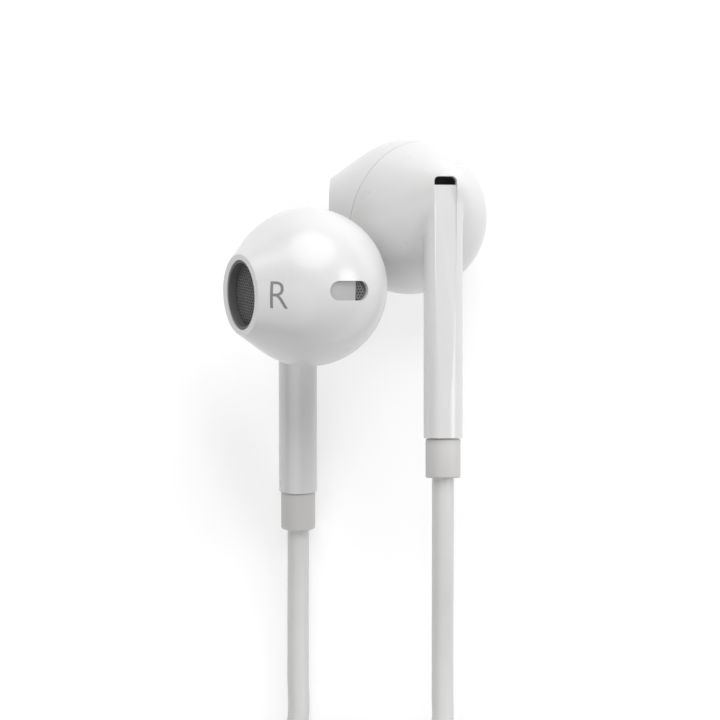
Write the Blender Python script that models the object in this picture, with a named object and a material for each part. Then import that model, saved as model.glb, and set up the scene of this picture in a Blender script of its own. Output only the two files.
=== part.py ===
"""Wired earphones: two buds, an in-line remote, a Y split, a 3.5 mm plug and their coiled cord.

The pair lies on a surface at z = 0. +X is to the right, +Y points from the cords to the heads,
and +Z is up. The origin is under the middle of the box of the two buds.
"""

import math

import bmesh
import bpy
from mathutils import Matrix, Vector

MM = 0.001
GAP = 0.1 * MM  # clearance between pieces that seat in each other
SEAM = 0.12 * MM  # line between two shells

# Head of a bud. In its own frame the nozzle points along +X and the stem down -Z,
# and the left bud's outer side faces +Y.
HEAD_R = 8.55 * MM
WALL = 1.0 * MM
MOUTH_REACH = HEAD_R + 0.15 * MM
MOUTH_TALL = 8.24 * MM
MOUTH_WIDE = 6.1 * MM
MOUTH_DROP = 0.05 * MM
NOZZLE_LIP = 0.35 * MM
RING_WALL = 0.3 * MM
RING_DEEP = 2.0 * MM
MESH_SET_BACK = 1.0 * MM
MESH_THICK = 0.2 * MM
SEAM_TURN = math.radians(-45)
SEAM_RISE = math.radians(15)
SLOT_LONG = 4.8 * MM
SLOT_HIGH = 2.1 * MM
SLOT_TURN = math.radians(-88)
SLOT_RISE = math.radians(5)
SLOT_TILT = math.radians(5)

# Stem, groove and sleeve.
STEM_R = 2.1 * MM
STEM_BACK = 4.1 * MM
STEM_OUT = HEAD_R - 0.45 * MM
STEM_TOP = 2.6 * MM
STEM_FOOT = -24.3 * MM
NECK_R = 2.35 * MM
BORE_R = 1.25 * MM
GROOVE_TURN = math.radians(102)
GROOVE_WIDE = 2.5 * MM
GROOVE_DEEP = 0.5 * MM
GROOVE_FOOT = -21.0 * MM
BASS_TOP = 4.05 * MM
BASS_FOOT = 3.1 * MM
BASS_SEAT = 0.42 * MM  # from the stem's axis to the mesh in the bass slot
SLEEVE_R = 1.9 * MM
SLEEVE_LONG = 4.3 * MM
CORD_D = 2.38 * MM

SLEEVE_FOOT = STEM_FOOT - SLEEVE_LONG
SPIGOT_LONG = 3.0 * MM
CRIMP_LONG = 1.6 * MM
LEAD_R = 0.45 * MM

# Driver, on an axis through the head's centre at right angles to the seam.
DRIVER_R = HEAD_R - WALL - 1.35 * MM
DRIVER_WALL = 0.5 * MM
DRIVER_TOP = 1.3 * MM
MAGNET_R = DRIVER_R - 2.9 * MM
MAGNET_FOOT = -2.4 * MM
MAGNET_HIGH = 1.5 * MM
PLATE_HIGH = 0.5 * MM
COIL_R = MAGNET_R - 0.2 * MM
COIL_WALL = 0.25 * MM
VOICE_COIL_HIGH = 1.2 * MM
FILM_THICK = 0.12 * MM
TERMINAL_LONG = 5.0 * MM
TERMINAL_WIDE = 3.0 * MM

# How each bud lies: its head's centre in plan, the rise of its stem and the lift of its nozzle.
LEFT_AT = (5.69 * MM, 13.05 * MM)
RIGHT_AT = (-5.38 * MM, 3.99 * MM)
HEAD_GAP = 0.3 * MM
LEFT_RISE = math.radians(6)
RIGHT_RISE = math.radians(16.2)
LEFT_LIFT = math.radians(-4)
RIGHT_LIFT = math.radians(35)

# Coil of the cord's spare length.
COIL_AT = (-1.0 * MM, -66.0 * MM)
COIL_IN = 8.7 * MM
COIL_OUT = 16.4 * MM
COIL_FOOT = 0.8 * MM
COIL_TOP = 12.6 * MM
TIE_THICK = 0.4 * MM
TIE_WIDE = 6.0 * MM
TIE_SLACK = 1.1 * MM
TIE_TURN = math.radians(-40)

# Remote, standing along Y beside the coil with its keys up.
REMOTE_AT = (19.3 * MM, -67.0 * MM)
REMOTE_LONG = 30.0 * MM
REMOTE_WIDE = 6.0 * MM
REMOTE_HIGH = 4.2 * MM
REMOTE_WALL = 0.7 * MM
REMOTE_SPLIT = 1.9 * MM
SHELL_END = 2 * REMOTE_WALL  # solid left at each end of a shell half
POCKET_OVER = 1 * MM  # how far a pocket's cutter stands out of the shell
KEY_LONG = 5.4 * MM
KEY_WIDE = 3.2 * MM
KEY_PITCH = KEY_LONG + 0.6 * MM
KEY_PROUD = 0.45 * MM
KEY_TRAVEL = 0.25 * MM
KEY_GAP = 0.12 * MM
ROOF_THICK = 0.8 * MM
FLANGE_THICK = 0.3 * MM
FLANGE_REACH = 0.4 * MM
DOME_R = 1.3 * MM
DOME_GAP = 0.06 * MM
STRIP_THICK = 0.2 * MM
BOARD_THICK = 0.5 * MM
MIC_AT = KEY_PITCH + KEY_LONG / 2 + 1.6 * MM  # the microphone, beyond the last key
MIC_R = 1.0 * MM
MIC_HOLE_R = 0.35 * MM

# Y split, lying on the coil.
SPLIT_LONG = 13.0 * MM
SPLIT_WIDE = 6.4 * MM
SPLIT_HIGH = 3.8 * MM
SPLIT_TURN = math.radians(226)
SPLIT_REACH = 12.2 * MM
REST_GAP = 0.3 * MM

# Plug, lying on the coil along -X.
PLUG_AT = (COIL_AT[0] + 9.0 * MM, COIL_AT[1] + 9.4 * MM)
PLUG_R = 2.9 * MM
PLUG_LONG = 14.0 * MM
RELIEF_LONG = 7.0 * MM
JACK_R = 1.75 * MM
JACK_LONG = 14.0 * MM
JACK_CORE_R = 0.9 * MM
JACK_ROOT = 6.0 * MM
TIP_LONG = 4.2 * MM
TIP_WAIST_R = 1.09 * MM  # at the blunt nose and at the latch groove
TIP_BLUNT = 0.15 * MM
TIP_WIDEST = 1.6 * MM  # from the nose, and so is the groove
TIP_GROOVE = 2.9 * MM
PLUG_SPIGOT = 4.0 * MM
RELIEF_R = 2.3 * MM
RELIEF_WALL = 0.45 * MM
# From the tip down: node name, length and whether it is a contact.
JACK_BANDS = (
    ("plug_insulator_1", 0.7 * MM, False),
    ("plug_ring_1", 1.8 * MM, True),
    ("plug_insulator_2", 0.7 * MM, False),
    ("plug_ring_2", 1.8 * MM, True),
    ("plug_insulator_3", 0.7 * MM, False),
    ("plug_sleeve", 0, True),
)

WHITE = (0.90, 0.90, 0.89)
SOFT_WHITE = (0.86, 0.86, 0.85)
DARK = (0.03, 0.03, 0.035)


def material(name, colour, roughness, metallic=0.0):
    made = bpy.data.materials.new(name)
    made.use_nodes = True
    made.diffuse_color = (*colour, 1.0)
    shader = made.node_tree.nodes["Principled BSDF"]
    shader.inputs["Base Color"].default_value = (*colour, 1.0)
    shader.inputs["Roughness"].default_value = roughness
    shader.inputs["Metallic"].default_value = metallic
    return made


def clear_scene():
    for obj in list(bpy.data.objects):
        bpy.data.objects.remove(obj)


def collection(name):
    made = bpy.data.collections.new(name)
    bpy.context.scene.collection.children.link(made)
    return made


clear_scene()
PARTS = collection("earphones")
CUTTERS = collection("cutters")
GLOSS = material("gloss_white", WHITE, 0.22)
SATIN = material("satin_white", SOFT_WHITE, 0.45)
CORD_SKIN = material("cord_white", SOFT_WHITE, 0.55)
RIM = material("mouth_rim", (0.70, 0.70, 0.70), 0.4)
MESH = material("dark_mesh", DARK, 0.5, 0.6)
STEEL = material("steel", (0.55, 0.55, 0.56), 0.35, 1.0)
COPPER = material("copper", (0.80, 0.42, 0.25), 0.35, 1.0)
FILM = material("film", (0.75, 0.76, 0.72), 0.3)
BOARD = material("board", (0.02, 0.16, 0.08), 0.5)
CONTACT = material("contact", (0.83, 0.80, 0.74), 0.2, 1.0)
BLACK = material("insulator", (0.05, 0.05, 0.05), 0.4)
GREY = material("tie_grey", (0.80, 0.80, 0.80), 0.7)


def node_from(bm, name, finish, parent=None, matrix=None, flip=False):
    """A node from a bmesh; flip mirrors it in Y, for the right bud."""
    if matrix is not None:
        bmesh.ops.transform(bm, matrix=matrix, verts=bm.verts)
    if flip:
        bmesh.ops.scale(bm, vec=(1, -1, 1), verts=bm.verts)
    bmesh.ops.recalc_face_normals(bm, faces=bm.faces)
    mesh = bpy.data.meshes.new(name)
    bm.to_mesh(mesh)
    bm.free()
    mesh.shade_smooth()
    mesh.set_sharp_from_angle(angle=math.radians(35))
    made = bpy.data.objects.new(name, mesh)
    mesh.materials.append(finish)
    PARTS.objects.link(made)
    made.parent = parent
    return made


def as_cutter(obj):
    PARTS.objects.unlink(obj)
    CUTTERS.objects.link(obj)
    obj.hide_render = True
    obj.display_type = "WIRE"
    return obj


def combine(obj, other, operation="DIFFERENCE"):
    made = obj.modifiers.new(other.name, "BOOLEAN")
    made.operation = operation
    made.solver = "EXACT"
    made.object = as_cutter(other)


def cylinder(radius, low, high, segments=24, top_radius=None):
    """A closed cylinder or cone along Z from low to high."""
    bm = bmesh.new()
    top = radius if top_radius is None else top_radius
    bmesh.ops.create_cone(
        bm, cap_ends=True, segments=segments, radius1=radius, radius2=top, depth=high - low
    )
    bmesh.ops.translate(bm, vec=(0, 0, (low + high) / 2), verts=bm.verts)
    return bm


def box(size, centre=(0, 0, 0)):
    bm = bmesh.new()
    bmesh.ops.create_cube(bm, size=1)
    bmesh.ops.scale(bm, vec=size, verts=bm.verts)
    bmesh.ops.translate(bm, vec=centre, verts=bm.verts)
    return bm


def turned(profile, segments=24):
    """A closed ring turned about Z from a closed outline of (radius, z) points."""
    bm = bmesh.new()
    points = [bm.verts.new((radius, 0, z)) for radius, z in profile]
    edges = [bm.edges.new((a, b)) for a, b in zip(points, points[1:] + points[:1])]
    bmesh.ops.spin(
        bm, geom=points + edges, cent=(0, 0, 0), axis=(0, 0, 1),
        angle=math.tau, steps=segments, use_merge=True,
    )
    bmesh.ops.remove_doubles(bm, verts=bm.verts, dist=1e-6)
    return bm


def turned_solid(profile, segments=24):
    """A solid turned about Z from an outline that starts and ends on the axis."""
    bm = bmesh.new()
    points = [bm.verts.new((radius, 0, z)) for radius, z in profile]
    edges = [bm.edges.new((a, b)) for a, b in zip(points, points[1:])]
    bmesh.ops.spin(
        bm, geom=points + edges, cent=(0, 0, 0), axis=(0, 0, 1),
        angle=math.tau, steps=segments, use_merge=True,
    )
    bmesh.ops.remove_doubles(bm, verts=bm.verts, dist=1e-6)
    return bm


def washer(inner, outer, low, high, segments=24):
    return turned([(inner, high), (inner, low), (outer, low), (outer, high)], segments)


def stadium(length, width, height, segments=8):
    """A flat-ended prism along Z with half-round ends, its length along X."""
    bm = bmesh.new()
    radius = width / 2
    reach = (length - width) / 2
    for side in (1, -1):
        for step in range(segments + 1):
            angle = math.radians(-90) + math.pi * step / segments
            x = side * (reach + radius * math.cos(angle))
            bm.verts.new((x, side * radius * math.sin(angle), 0))
    face = bm.faces.new(bm.verts)
    made = bmesh.ops.extrude_face_region(bm, geom=[face])["geom"]
    raised = [item for item in made if isinstance(item, bmesh.types.BMVert)]
    bmesh.ops.translate(bm, vec=(0, 0, height), verts=raised)
    return bm


def smooth_route(points, step):
    """Points about a step apart on a smooth curve through the given points."""
    knots = [Vector(p) for p in points]
    ends = [2 * knots[0] - knots[1]] + knots + [2 * knots[-1] - knots[-2]]
    made = [knots[0]]
    for before, start, stop, after in zip(ends, ends[1:], ends[2:], ends[3:]):
        count = max(1, round((stop - start).length / step))
        for index in range(1, count + 1):
            t = index / count
            made.append(
                0.5 * ((2 * start) + (stop - before) * t
                       + (2 * before - 5 * start + 4 * stop - after) * t ** 2
                       + (3 * start - before - 3 * stop + after) * t ** 3)
            )
    return made


def tube(name, points, diameter, finish):
    curve = bpy.data.curves.new(name, "CURVE")
    curve.dimensions = "3D"
    curve.bevel_depth = diameter / 2
    curve.bevel_resolution = 2
    curve.use_fill_caps = True
    route = smooth_route([[value * MM for value in point] for point in points], 2.2 * diameter)
    spline = curve.splines.new("POLY")
    spline.points.add(len(route) - 1)
    for point, place in zip(spline.points, route):
        point.co = (*place, 1)
    curve.materials.append(finish)
    made = bpy.data.objects.new(name, curve)
    PARTS.objects.link(made)
    return made


def along(direction, at=(0, 0, 0)):
    """A matrix that takes +Z to a direction and the origin to a place."""
    turn = Vector(direction).to_track_quat("Z", "Y").to_matrix().to_4x4()
    return Matrix.Translation(at) @ turn


SEAM_AXIS = Vector((
    math.cos(SEAM_TURN) * math.cos(SEAM_RISE),
    math.sin(SEAM_TURN) * math.cos(SEAM_RISE),
    math.sin(SEAM_RISE),
))
STEM_AT = Vector((-STEM_BACK, STEM_OUT, 0))


def mouth_oval(x, shrink, count=24):
    """Points of the nozzle's oval at a distance x along it, inside its rim by shrink."""
    points = []
    for step in range(count):
        angle = math.tau * step / count
        y = (MOUTH_WIDE / 2 - shrink) * math.cos(angle)
        z = (MOUTH_TALL / 2 - shrink) * math.sin(angle) - MOUTH_DROP
        points.append((x, y, z))
    return points


def mouth_plug(near, far, shrink):
    """A solid oval from near to far along the nozzle."""
    bm = bmesh.new()
    for x in (near, far):
        for point in mouth_oval(x, shrink):
            bm.verts.new(point)
    bmesh.ops.convex_hull(bm, input=bm.verts)
    return bm


def head_form(side):
    """The closed outer form of a head: the dome, the nozzle's cone and the neck, in one hull."""
    bm = bmesh.new()
    bmesh.ops.create_uvsphere(bm, u_segments=28, v_segments=16, radius=HEAD_R)
    for point in mouth_oval(MOUTH_REACH, 0):
        bm.verts.new(point)
    top = bmesh.ops.create_uvsphere(bm, u_segments=14, v_segments=8, radius=NECK_R)["verts"]
    bmesh.ops.translate(bm, vec=STEM_AT + Vector((0, 0, STEM_TOP)), verts=top)
    bmesh.ops.delete(bm, geom=list(bm.edges), context="EDGES_FACES")
    made = bmesh.ops.convex_hull(bm, input=bm.verts)
    unused = [item for item in made["geom_interior"] if isinstance(item, bmesh.types.BMVert)]
    bmesh.ops.delete(bm, geom=unused, context="VERTS")
    bmesh.ops.bisect_plane(
        bm, geom=list(bm.verts) + list(bm.edges) + list(bm.faces), dist=1e-7,
        plane_co=SEAM_AXIS * side * SEAM / 2, plane_no=SEAM_AXIS * side, clear_inner=True,
    )
    bmesh.ops.holes_fill(bm, edges=[edge for edge in bm.edges if edge.is_boundary], sides=0)
    return bm


def inner_ball():
    bm = bmesh.new()
    bmesh.ops.create_uvsphere(bm, u_segments=20, v_segments=12, radius=HEAD_R - WALL)
    return bm


def slot_prism(length, height, low, high):
    """A stadium prism that points out through the side slot, from low to high off the centre."""
    bm = stadium(length, height, high - low)
    turn = Matrix.Rotation(SLOT_TURN, 4, "Z") @ Matrix.Rotation(-SLOT_RISE, 4, "Y")
    upright = Matrix(((0, 0, 1, 0), (1, 0, 0, 0), (0, 1, 0, 0), (0, 0, 0, 1)))
    place = turn @ upright @ Matrix.Rotation(SLOT_TILT, 4, "Z") @ Matrix.Translation((0, 0, low))
    bmesh.ops.transform(bm, matrix=place, verts=bm.verts)
    return bm


def groove_block(near, far, wide, low, high, taper=0.0):
    """A block in front of the stem, from near to far off its axis; taper lifts its foot outwards."""
    bm = box((far - near, wide, high - low), ((near + far) / 2, 0, (low + high) / 2))
    for vert in bm.verts:
        if vert.co.z < (low + high) / 2:
            vert.co.x += taper
    turn = Matrix.Translation(STEM_AT) @ Matrix.Rotation(GROOVE_TURN, 4, "Z")
    bmesh.ops.transform(bm, matrix=turn, verts=bm.verts)
    return bm


def oval(low, high, shrink, wall=0.0):
    """An oval of the nozzle's shape along Z, inside its rim by shrink: solid, or a ring with a wall."""
    tall = MOUTH_TALL / 2 - shrink
    wide = MOUTH_WIDE / 2 - shrink
    bm = washer(tall - wall, tall, low, high) if wall else cylinder(tall, low, high)
    bmesh.ops.scale(bm, vec=(wide / tall, 1, 1), verts=bm.verts)
    bmesh.ops.translate(bm, vec=(0, -MOUTH_DROP, 0), verts=bm.verts)
    return bm


def diaphragm_form(foot, radius):
    """A thin disc, domed inside the voice coil that it sits on, with a roll outside it."""
    seat = COIL_R - COIL_WALL / 2
    dome = [(0, 0.9), (0.47 * seat, 0.75), (0.8 * seat, 0.3), (seat, 0)]
    edge = radius - seat
    roll = [(seat + 0.4 * edge, 0.45), (seat + 0.8 * edge, 0.2), (radius, 0)]
    lower = [(r, foot + z * MM) for r, z in dome + roll]
    upper = [(r, z + FILM_THICK) for r, z in reversed(lower)]
    return turned_solid(lower + upper)


def bud(name, flip, frame):
    """All the pieces of one bud, in its own frame under an empty."""
    root = bpy.data.objects.new(name, None)
    PARTS.objects.link(root)
    root.matrix_world = frame

    def add(bm, part, finish, matrix=None):
        return node_from(bm, f"{name}_{part}", finish, root, matrix, flip)

    front = add(head_form(1), "front_shell", GLOSS)
    combine(front, add(inner_ball(), "front_hollow", GLOSS))
    combine(front, add(mouth_plug(0, 2 * MOUTH_REACH, NOZZLE_LIP), "mouth_cut", GLOSS))
    slot = slot_prism(SLOT_LONG, SLOT_HIGH, HEAD_R - 3 * WALL, 2 * HEAD_R)
    combine(front, add(slot, "slot_cut", GLOSS))

    rear = add(head_form(-1), "rear_shell", GLOSS)
    to_stem = Matrix.Translation(STEM_AT)
    stem = cylinder(STEM_R, STEM_FOOT, STEM_TOP, 28)
    combine(rear, add(stem, "stem_rod", GLOSS, to_stem), "UNION")
    combine(rear, add(inner_ball(), "rear_hollow", GLOSS))
    bore = cylinder(BORE_R, STEM_FOOT - 1 * MM, STEM_TOP, 16)
    combine(rear, add(bore, "bore_cut", GLOSS, to_stem))
    duct_end = STEM_AT + Vector((0, 0, BASS_FOOT))
    duct = cylinder(BORE_R, 0, duct_end.length + BORE_R / 3, 14)
    duct_frame = along(duct_end)
    combine(rear, add(duct, "duct_cut", GLOSS, duct_frame))
    floor = STEM_R - GROOVE_DEEP
    groove = groove_block(floor, 3 * STEM_R, GROOVE_WIDE, GROOVE_FOOT, BASS_TOP, GROOVE_DEEP)
    combine(rear, add(groove, "groove_cut", GLOSS))
    bass = groove_block(0, 3 * STEM_R, GROOVE_WIDE - 0.02 * MM, BASS_FOOT, BASS_TOP - 0.01 * MM)
    combine(rear, add(bass, "bass_cut", GLOSS))


    to_mouth = along((1, 0, 0))
    inside = NOZZLE_LIP + GAP
    add(oval(MOUTH_REACH - RING_DEEP, MOUTH_REACH, inside, RING_WALL), "mouth_ring", RIM, to_mouth)
    mesh_face = MOUTH_REACH - MESH_SET_BACK
    mesh_edge = inside + RING_WALL + GAP
    add(oval(mesh_face - MESH_THICK, mesh_face, mesh_edge), "mouth_mesh", MESH, to_mouth)
    mesh_seat = HEAD_R - WALL + GAP
    side_mesh = slot_prism(
        SLOT_LONG - 2 * GAP, SLOT_HIGH - 2 * GAP, mesh_seat, mesh_seat + MESH_THICK
    )
    add(side_mesh, "side_mesh", MESH)
    bass_mesh = groove_block(
        BASS_SEAT, BASS_SEAT + MESH_THICK, GROOVE_WIDE - 2 * GAP, BASS_FOOT + GAP, BASS_TOP - GAP
    )
    add(bass_mesh, "bass_mesh", MESH)

    to_seam = along(SEAM_AXIS)
    seat = MAGNET_R + GAP
    rim = DRIVER_R - DRIVER_WALL
    shelf = MAGNET_FOOT + MAGNET_HIGH / 2
    cup = [
        (rim, DRIVER_TOP), (rim, shelf + DRIVER_WALL), (seat, shelf + DRIVER_WALL),
        (seat, shelf), (DRIVER_R, shelf), (DRIVER_R, DRIVER_TOP),
    ]
    add(turned(cup), "driver_frame", STEEL, to_seam)
    magnet_top = MAGNET_FOOT + MAGNET_HIGH
    add(cylinder(MAGNET_R, MAGNET_FOOT, magnet_top), "magnet", STEEL, to_seam)
    plate_foot = magnet_top + GAP
    plate_top = plate_foot + PLATE_HIGH
    add(cylinder(COIL_R - COIL_WALL - GAP, plate_foot, plate_top), "top_plate", STEEL, to_seam)
    coil_top = plate_foot + VOICE_COIL_HIGH
    coil = washer(COIL_R - COIL_WALL, COIL_R, plate_foot, coil_top)
    add(coil, "voice_coil", COPPER, to_seam)
    add(diaphragm_form(coil_top + GAP, rim - GAP), "diaphragm", FILM, to_seam)
    board_at = (0, 0, MAGNET_FOOT - GAP - BOARD_THICK / 2)
    add(box((TERMINAL_LONG, TERMINAL_WIDE, BOARD_THICK), board_at), "terminal_board", BOARD, to_seam)

    spigot = [
        (0, STEM_FOOT + SPIGOT_LONG), (BORE_R - GAP, STEM_FOOT + SPIGOT_LONG),
        (BORE_R - GAP, STEM_FOOT - GAP), (SLEEVE_R, STEM_FOOT - GAP),
        (SLEEVE_R, SLEEVE_FOOT), (0, SLEEVE_FOOT),
    ]
    add(turned_solid(spigot), "strain_relief", SATIN, to_stem)
    crimp_foot = STEM_FOOT + SPIGOT_LONG + GAP
    crimp_top = crimp_foot + CRIMP_LONG
    add(cylinder(BORE_R - GAP, crimp_foot, crimp_top, 16), "cord_crimp", STEEL, to_stem)
    add(cylinder(LEAD_R, crimp_top + GAP, 0, 10), "inner_lead", COPPER, to_stem)
    return root


def lay_frame(place, height, rise, lift):
    """The frame of a bud that lies with its stem rising to the head and its nozzle lifted."""
    up = Vector((0, math.cos(rise), math.sin(rise)))
    face = Vector((0, -math.sin(rise), math.cos(rise)))
    nozzle = Vector((-math.cos(lift), 0, 0)) + face * math.sin(lift)
    turn = Matrix((nozzle, up.cross(nozzle), up)).transposed().to_4x4()
    return Matrix.Translation((*place, height)) @ turn


def right_head_height():
    """The right head rests on the left one, which rests on the surface."""
    plan = math.dist(LEFT_AT, RIGHT_AT)
    return HEAD_R + math.sqrt((2 * HEAD_R + HEAD_GAP) ** 2 - plan ** 2)


def set_of(name, matrix):
    """An empty with a frame, and a function that adds pieces under it."""
    root = bpy.data.objects.new(name, None)
    PARTS.objects.link(root)
    root.matrix_world = matrix

    def add(bm, part, finish, place=None):
        return node_from(bm, part, finish, root, place)

    return root, add


def shell_half(long, wide, foot, top, floor, roof):
    """A stadium shell with a pocket: floor and roof say how much stays under and over the pocket."""
    outside = stadium(long, wide, top - foot)
    inside = stadium(long - 2 * SHELL_END, wide - 2 * REMOTE_WALL, top - foot - floor - roof + POCKET_OVER)
    drop = -POCKET_OVER if roof else 0
    bmesh.ops.translate(outside, vec=(0, 0, foot), verts=outside.verts)
    bmesh.ops.translate(inside, vec=(0, 0, foot + floor + drop), verts=inside.verts)
    return outside, inside


def remote():
    """Two shells, a board with three dome switches, a microphone and three keys that travel down."""
    frame = Matrix.Translation((*REMOTE_AT, 0)) @ Matrix.Rotation(math.radians(90), 4, "Z")
    _, add = set_of("remote", frame)
    roof_foot = REMOTE_HIGH - ROOF_THICK
    outside, inside = shell_half(REMOTE_LONG, REMOTE_WIDE, 0, REMOTE_SPLIT, REMOTE_WALL, 0)
    back = add(outside, "remote_back_shell", GLOSS)
    combine(back, add(inside, "remote_back_pocket", GLOSS))
    outside, inside = shell_half(
        REMOTE_LONG, REMOTE_WIDE, REMOTE_SPLIT + SEAM, REMOTE_HIGH, 0, ROOF_THICK
    )
    front = add(outside, "remote_front_shell", GLOSS)
    combine(front, add(inside, "remote_front_pocket", GLOSS))

    board_foot = REMOTE_WALL + GAP
    board_top = board_foot + BOARD_THICK
    board_long = REMOTE_LONG - 2 * SHELL_END - 2 * GAP
    board = stadium(board_long, REMOTE_WIDE - 2 * REMOTE_WALL - 2 * GAP, BOARD_THICK)
    bmesh.ops.translate(board, vec=(0, 0, board_foot), verts=board.verts)
    add(board, "remote_board", BOARD)
    strip_foot = board_top + GAP
    strip_top = strip_foot + STRIP_THICK
    strip_long = 2 * KEY_PITCH + KEY_LONG
    strip_at = (0, 0, strip_foot + STRIP_THICK / 2)
    strip = add(box((strip_long, KEY_WIDE, STRIP_THICK), strip_at), "switch_strip", STEEL)

    key_foot = roof_foot - GAP - FLANGE_THICK
    for index, part in enumerate(("key_volume_down", "key_centre", "key_volume_up")):
        place = Matrix.Translation(((index - 1) * KEY_PITCH, 0, 0))
        dome = cylinder(DOME_R, strip_foot, key_foot - KEY_TRAVEL - DOME_GAP, 16, DOME_R / 2)
        combine(strip, add(dome, f"{part}_dome", STEEL, place), "UNION")
        hole = stadium(KEY_LONG + 2 * KEY_GAP, KEY_WIDE + 2 * KEY_GAP, 2 * REMOTE_HIGH)
        combine(front, add(hole, f"{part}_hole", GLOSS, place))
        cap = stadium(KEY_LONG, KEY_WIDE, REMOTE_HIGH + KEY_PROUD - key_foot)
        bmesh.ops.translate(cap, vec=(0, 0, key_foot), verts=cap.verts)
        key = add(cap, part, SATIN, place)
        flange_at = (0, 0, key_foot + FLANGE_THICK / 2)
        flange = box((KEY_LONG / 2, KEY_WIDE + 2 * FLANGE_REACH, FLANGE_THICK), flange_at)
        combine(key, add(flange, f"{part}_flange", SATIN, place), "UNION")

    mic_place = Matrix.Translation((MIC_AT, 0, 0))
    mic = cylinder(MIC_R, board_top + GAP, roof_foot - GAP, 16)
    add(mic, "microphone", STEEL, mic_place)
    mic_hole = cylinder(MIC_HOLE_R, REMOTE_SPLIT, 2 * REMOTE_HIGH, 12)
    combine(front, add(mic_hole, "mic_hole", GLOSS, mic_place))


def split():
    """Two shells and a crimp where the branches join."""
    heading = SPLIT_TURN + math.radians(90)
    place = (
        COIL_AT[0] + SPLIT_REACH * math.cos(SPLIT_TURN),
        COIL_AT[1] + SPLIT_REACH * math.sin(SPLIT_TURN),
        COIL_TOP + REST_GAP,
    )
    _, add = set_of("split", Matrix.Translation(place) @ Matrix.Rotation(heading, 4, "Z"))
    middle = SPLIT_HIGH / 2
    outside, inside = shell_half(SPLIT_LONG, SPLIT_WIDE, 0, middle, REMOTE_WALL, 0)
    lower = add(outside, "split_lower_shell", GLOSS)
    combine(lower, add(inside, "split_lower_pocket", GLOSS))
    outside, inside = shell_half(SPLIT_LONG, SPLIT_WIDE, middle + SEAM, SPLIT_HIGH, 0, REMOTE_WALL)
    upper = add(outside, "split_upper_shell", GLOSS)
    combine(upper, add(inside, "split_upper_pocket", GLOSS))
    crimp = box(
        (SPLIT_LONG / 2, SPLIT_WIDE / 2, SPLIT_HIGH - 2 * REMOTE_WALL - 2 * GAP), (0, 0, middle)
    )
    add(crimp, "split_crimp", STEEL)


def plug():
    """A four-contact 3.5 mm plug: concentric contacts and insulators on the tip's core."""
    height = COIL_TOP + REST_GAP + PLUG_R
    _, add = set_of("plug", along((-1, 0, 0), (*PLUG_AT, height)))
    bore = JACK_R + GAP
    add(washer(bore, PLUG_R, 0, PLUG_LONG), "plug_sheath", GLOSS)
    relief = [
        (0, PLUG_SPIGOT), (JACK_R, PLUG_SPIGOT), (JACK_R, -GAP), (RELIEF_R, -GAP),
        (CORD_D / 2 + RELIEF_WALL, -RELIEF_LONG), (0, -RELIEF_LONG),
    ]
    add(turned_solid(relief), "plug_strain_relief", SATIN)

    nose = PLUG_LONG + JACK_LONG
    root = PLUG_LONG - JACK_ROOT
    tip_foot = nose - TIP_LONG
    shoulder = tip_foot + GAP
    tip = [
        (0, nose), (TIP_WAIST_R, nose - TIP_BLUNT), (JACK_R, nose - TIP_WIDEST),
        (TIP_WAIST_R, nose - TIP_GROOVE), (JACK_R, shoulder), (JACK_R, tip_foot),
        (JACK_CORE_R, tip_foot), (JACK_CORE_R, root), (0, root),
    ]
    add(turned_solid(tip), "plug_tip", CONTACT)
    hole = JACK_CORE_R + GAP / 2
    top = tip_foot - GAP / 2
    for index, (part, length, finish) in enumerate(JACK_BANDS):
        foot = root if index == len(JACK_BANDS) - 1 else top - length
        add(washer(hole, JACK_R, foot, top), part, CONTACT if finish else BLACK)
        top = foot - GAP / 2


def coil_and_tie():
    ring = washer(COIL_IN, COIL_OUT, COIL_FOOT, COIL_TOP, 48)
    node_from(ring, "cord_coil", CORD_SKIN, None, Matrix.Translation((*COIL_AT, 0)))
    inner = COIL_IN - TIE_SLACK
    outer = COIL_OUT + REST_GAP
    centre = ((inner + outer) / 2, 0, (COIL_FOOT + COIL_TOP) / 2)
    reach = outer - inner
    rise = COIL_TOP - COIL_FOOT + 2 * REST_GAP
    at_coil = Matrix.Translation((*COIL_AT, 0)) @ Matrix.Rotation(TIE_TURN, 4, "Z")
    band_size = (reach + 2 * TIE_THICK, TIE_WIDE, rise + 2 * TIE_THICK)
    band = node_from(box(band_size, centre), "cord_tie", GREY, None, at_coil)
    room = box((reach, 2 * TIE_WIDE, rise), centre)
    combine(band, node_from(room, "tie_room", GREY, None, at_coil))


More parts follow.
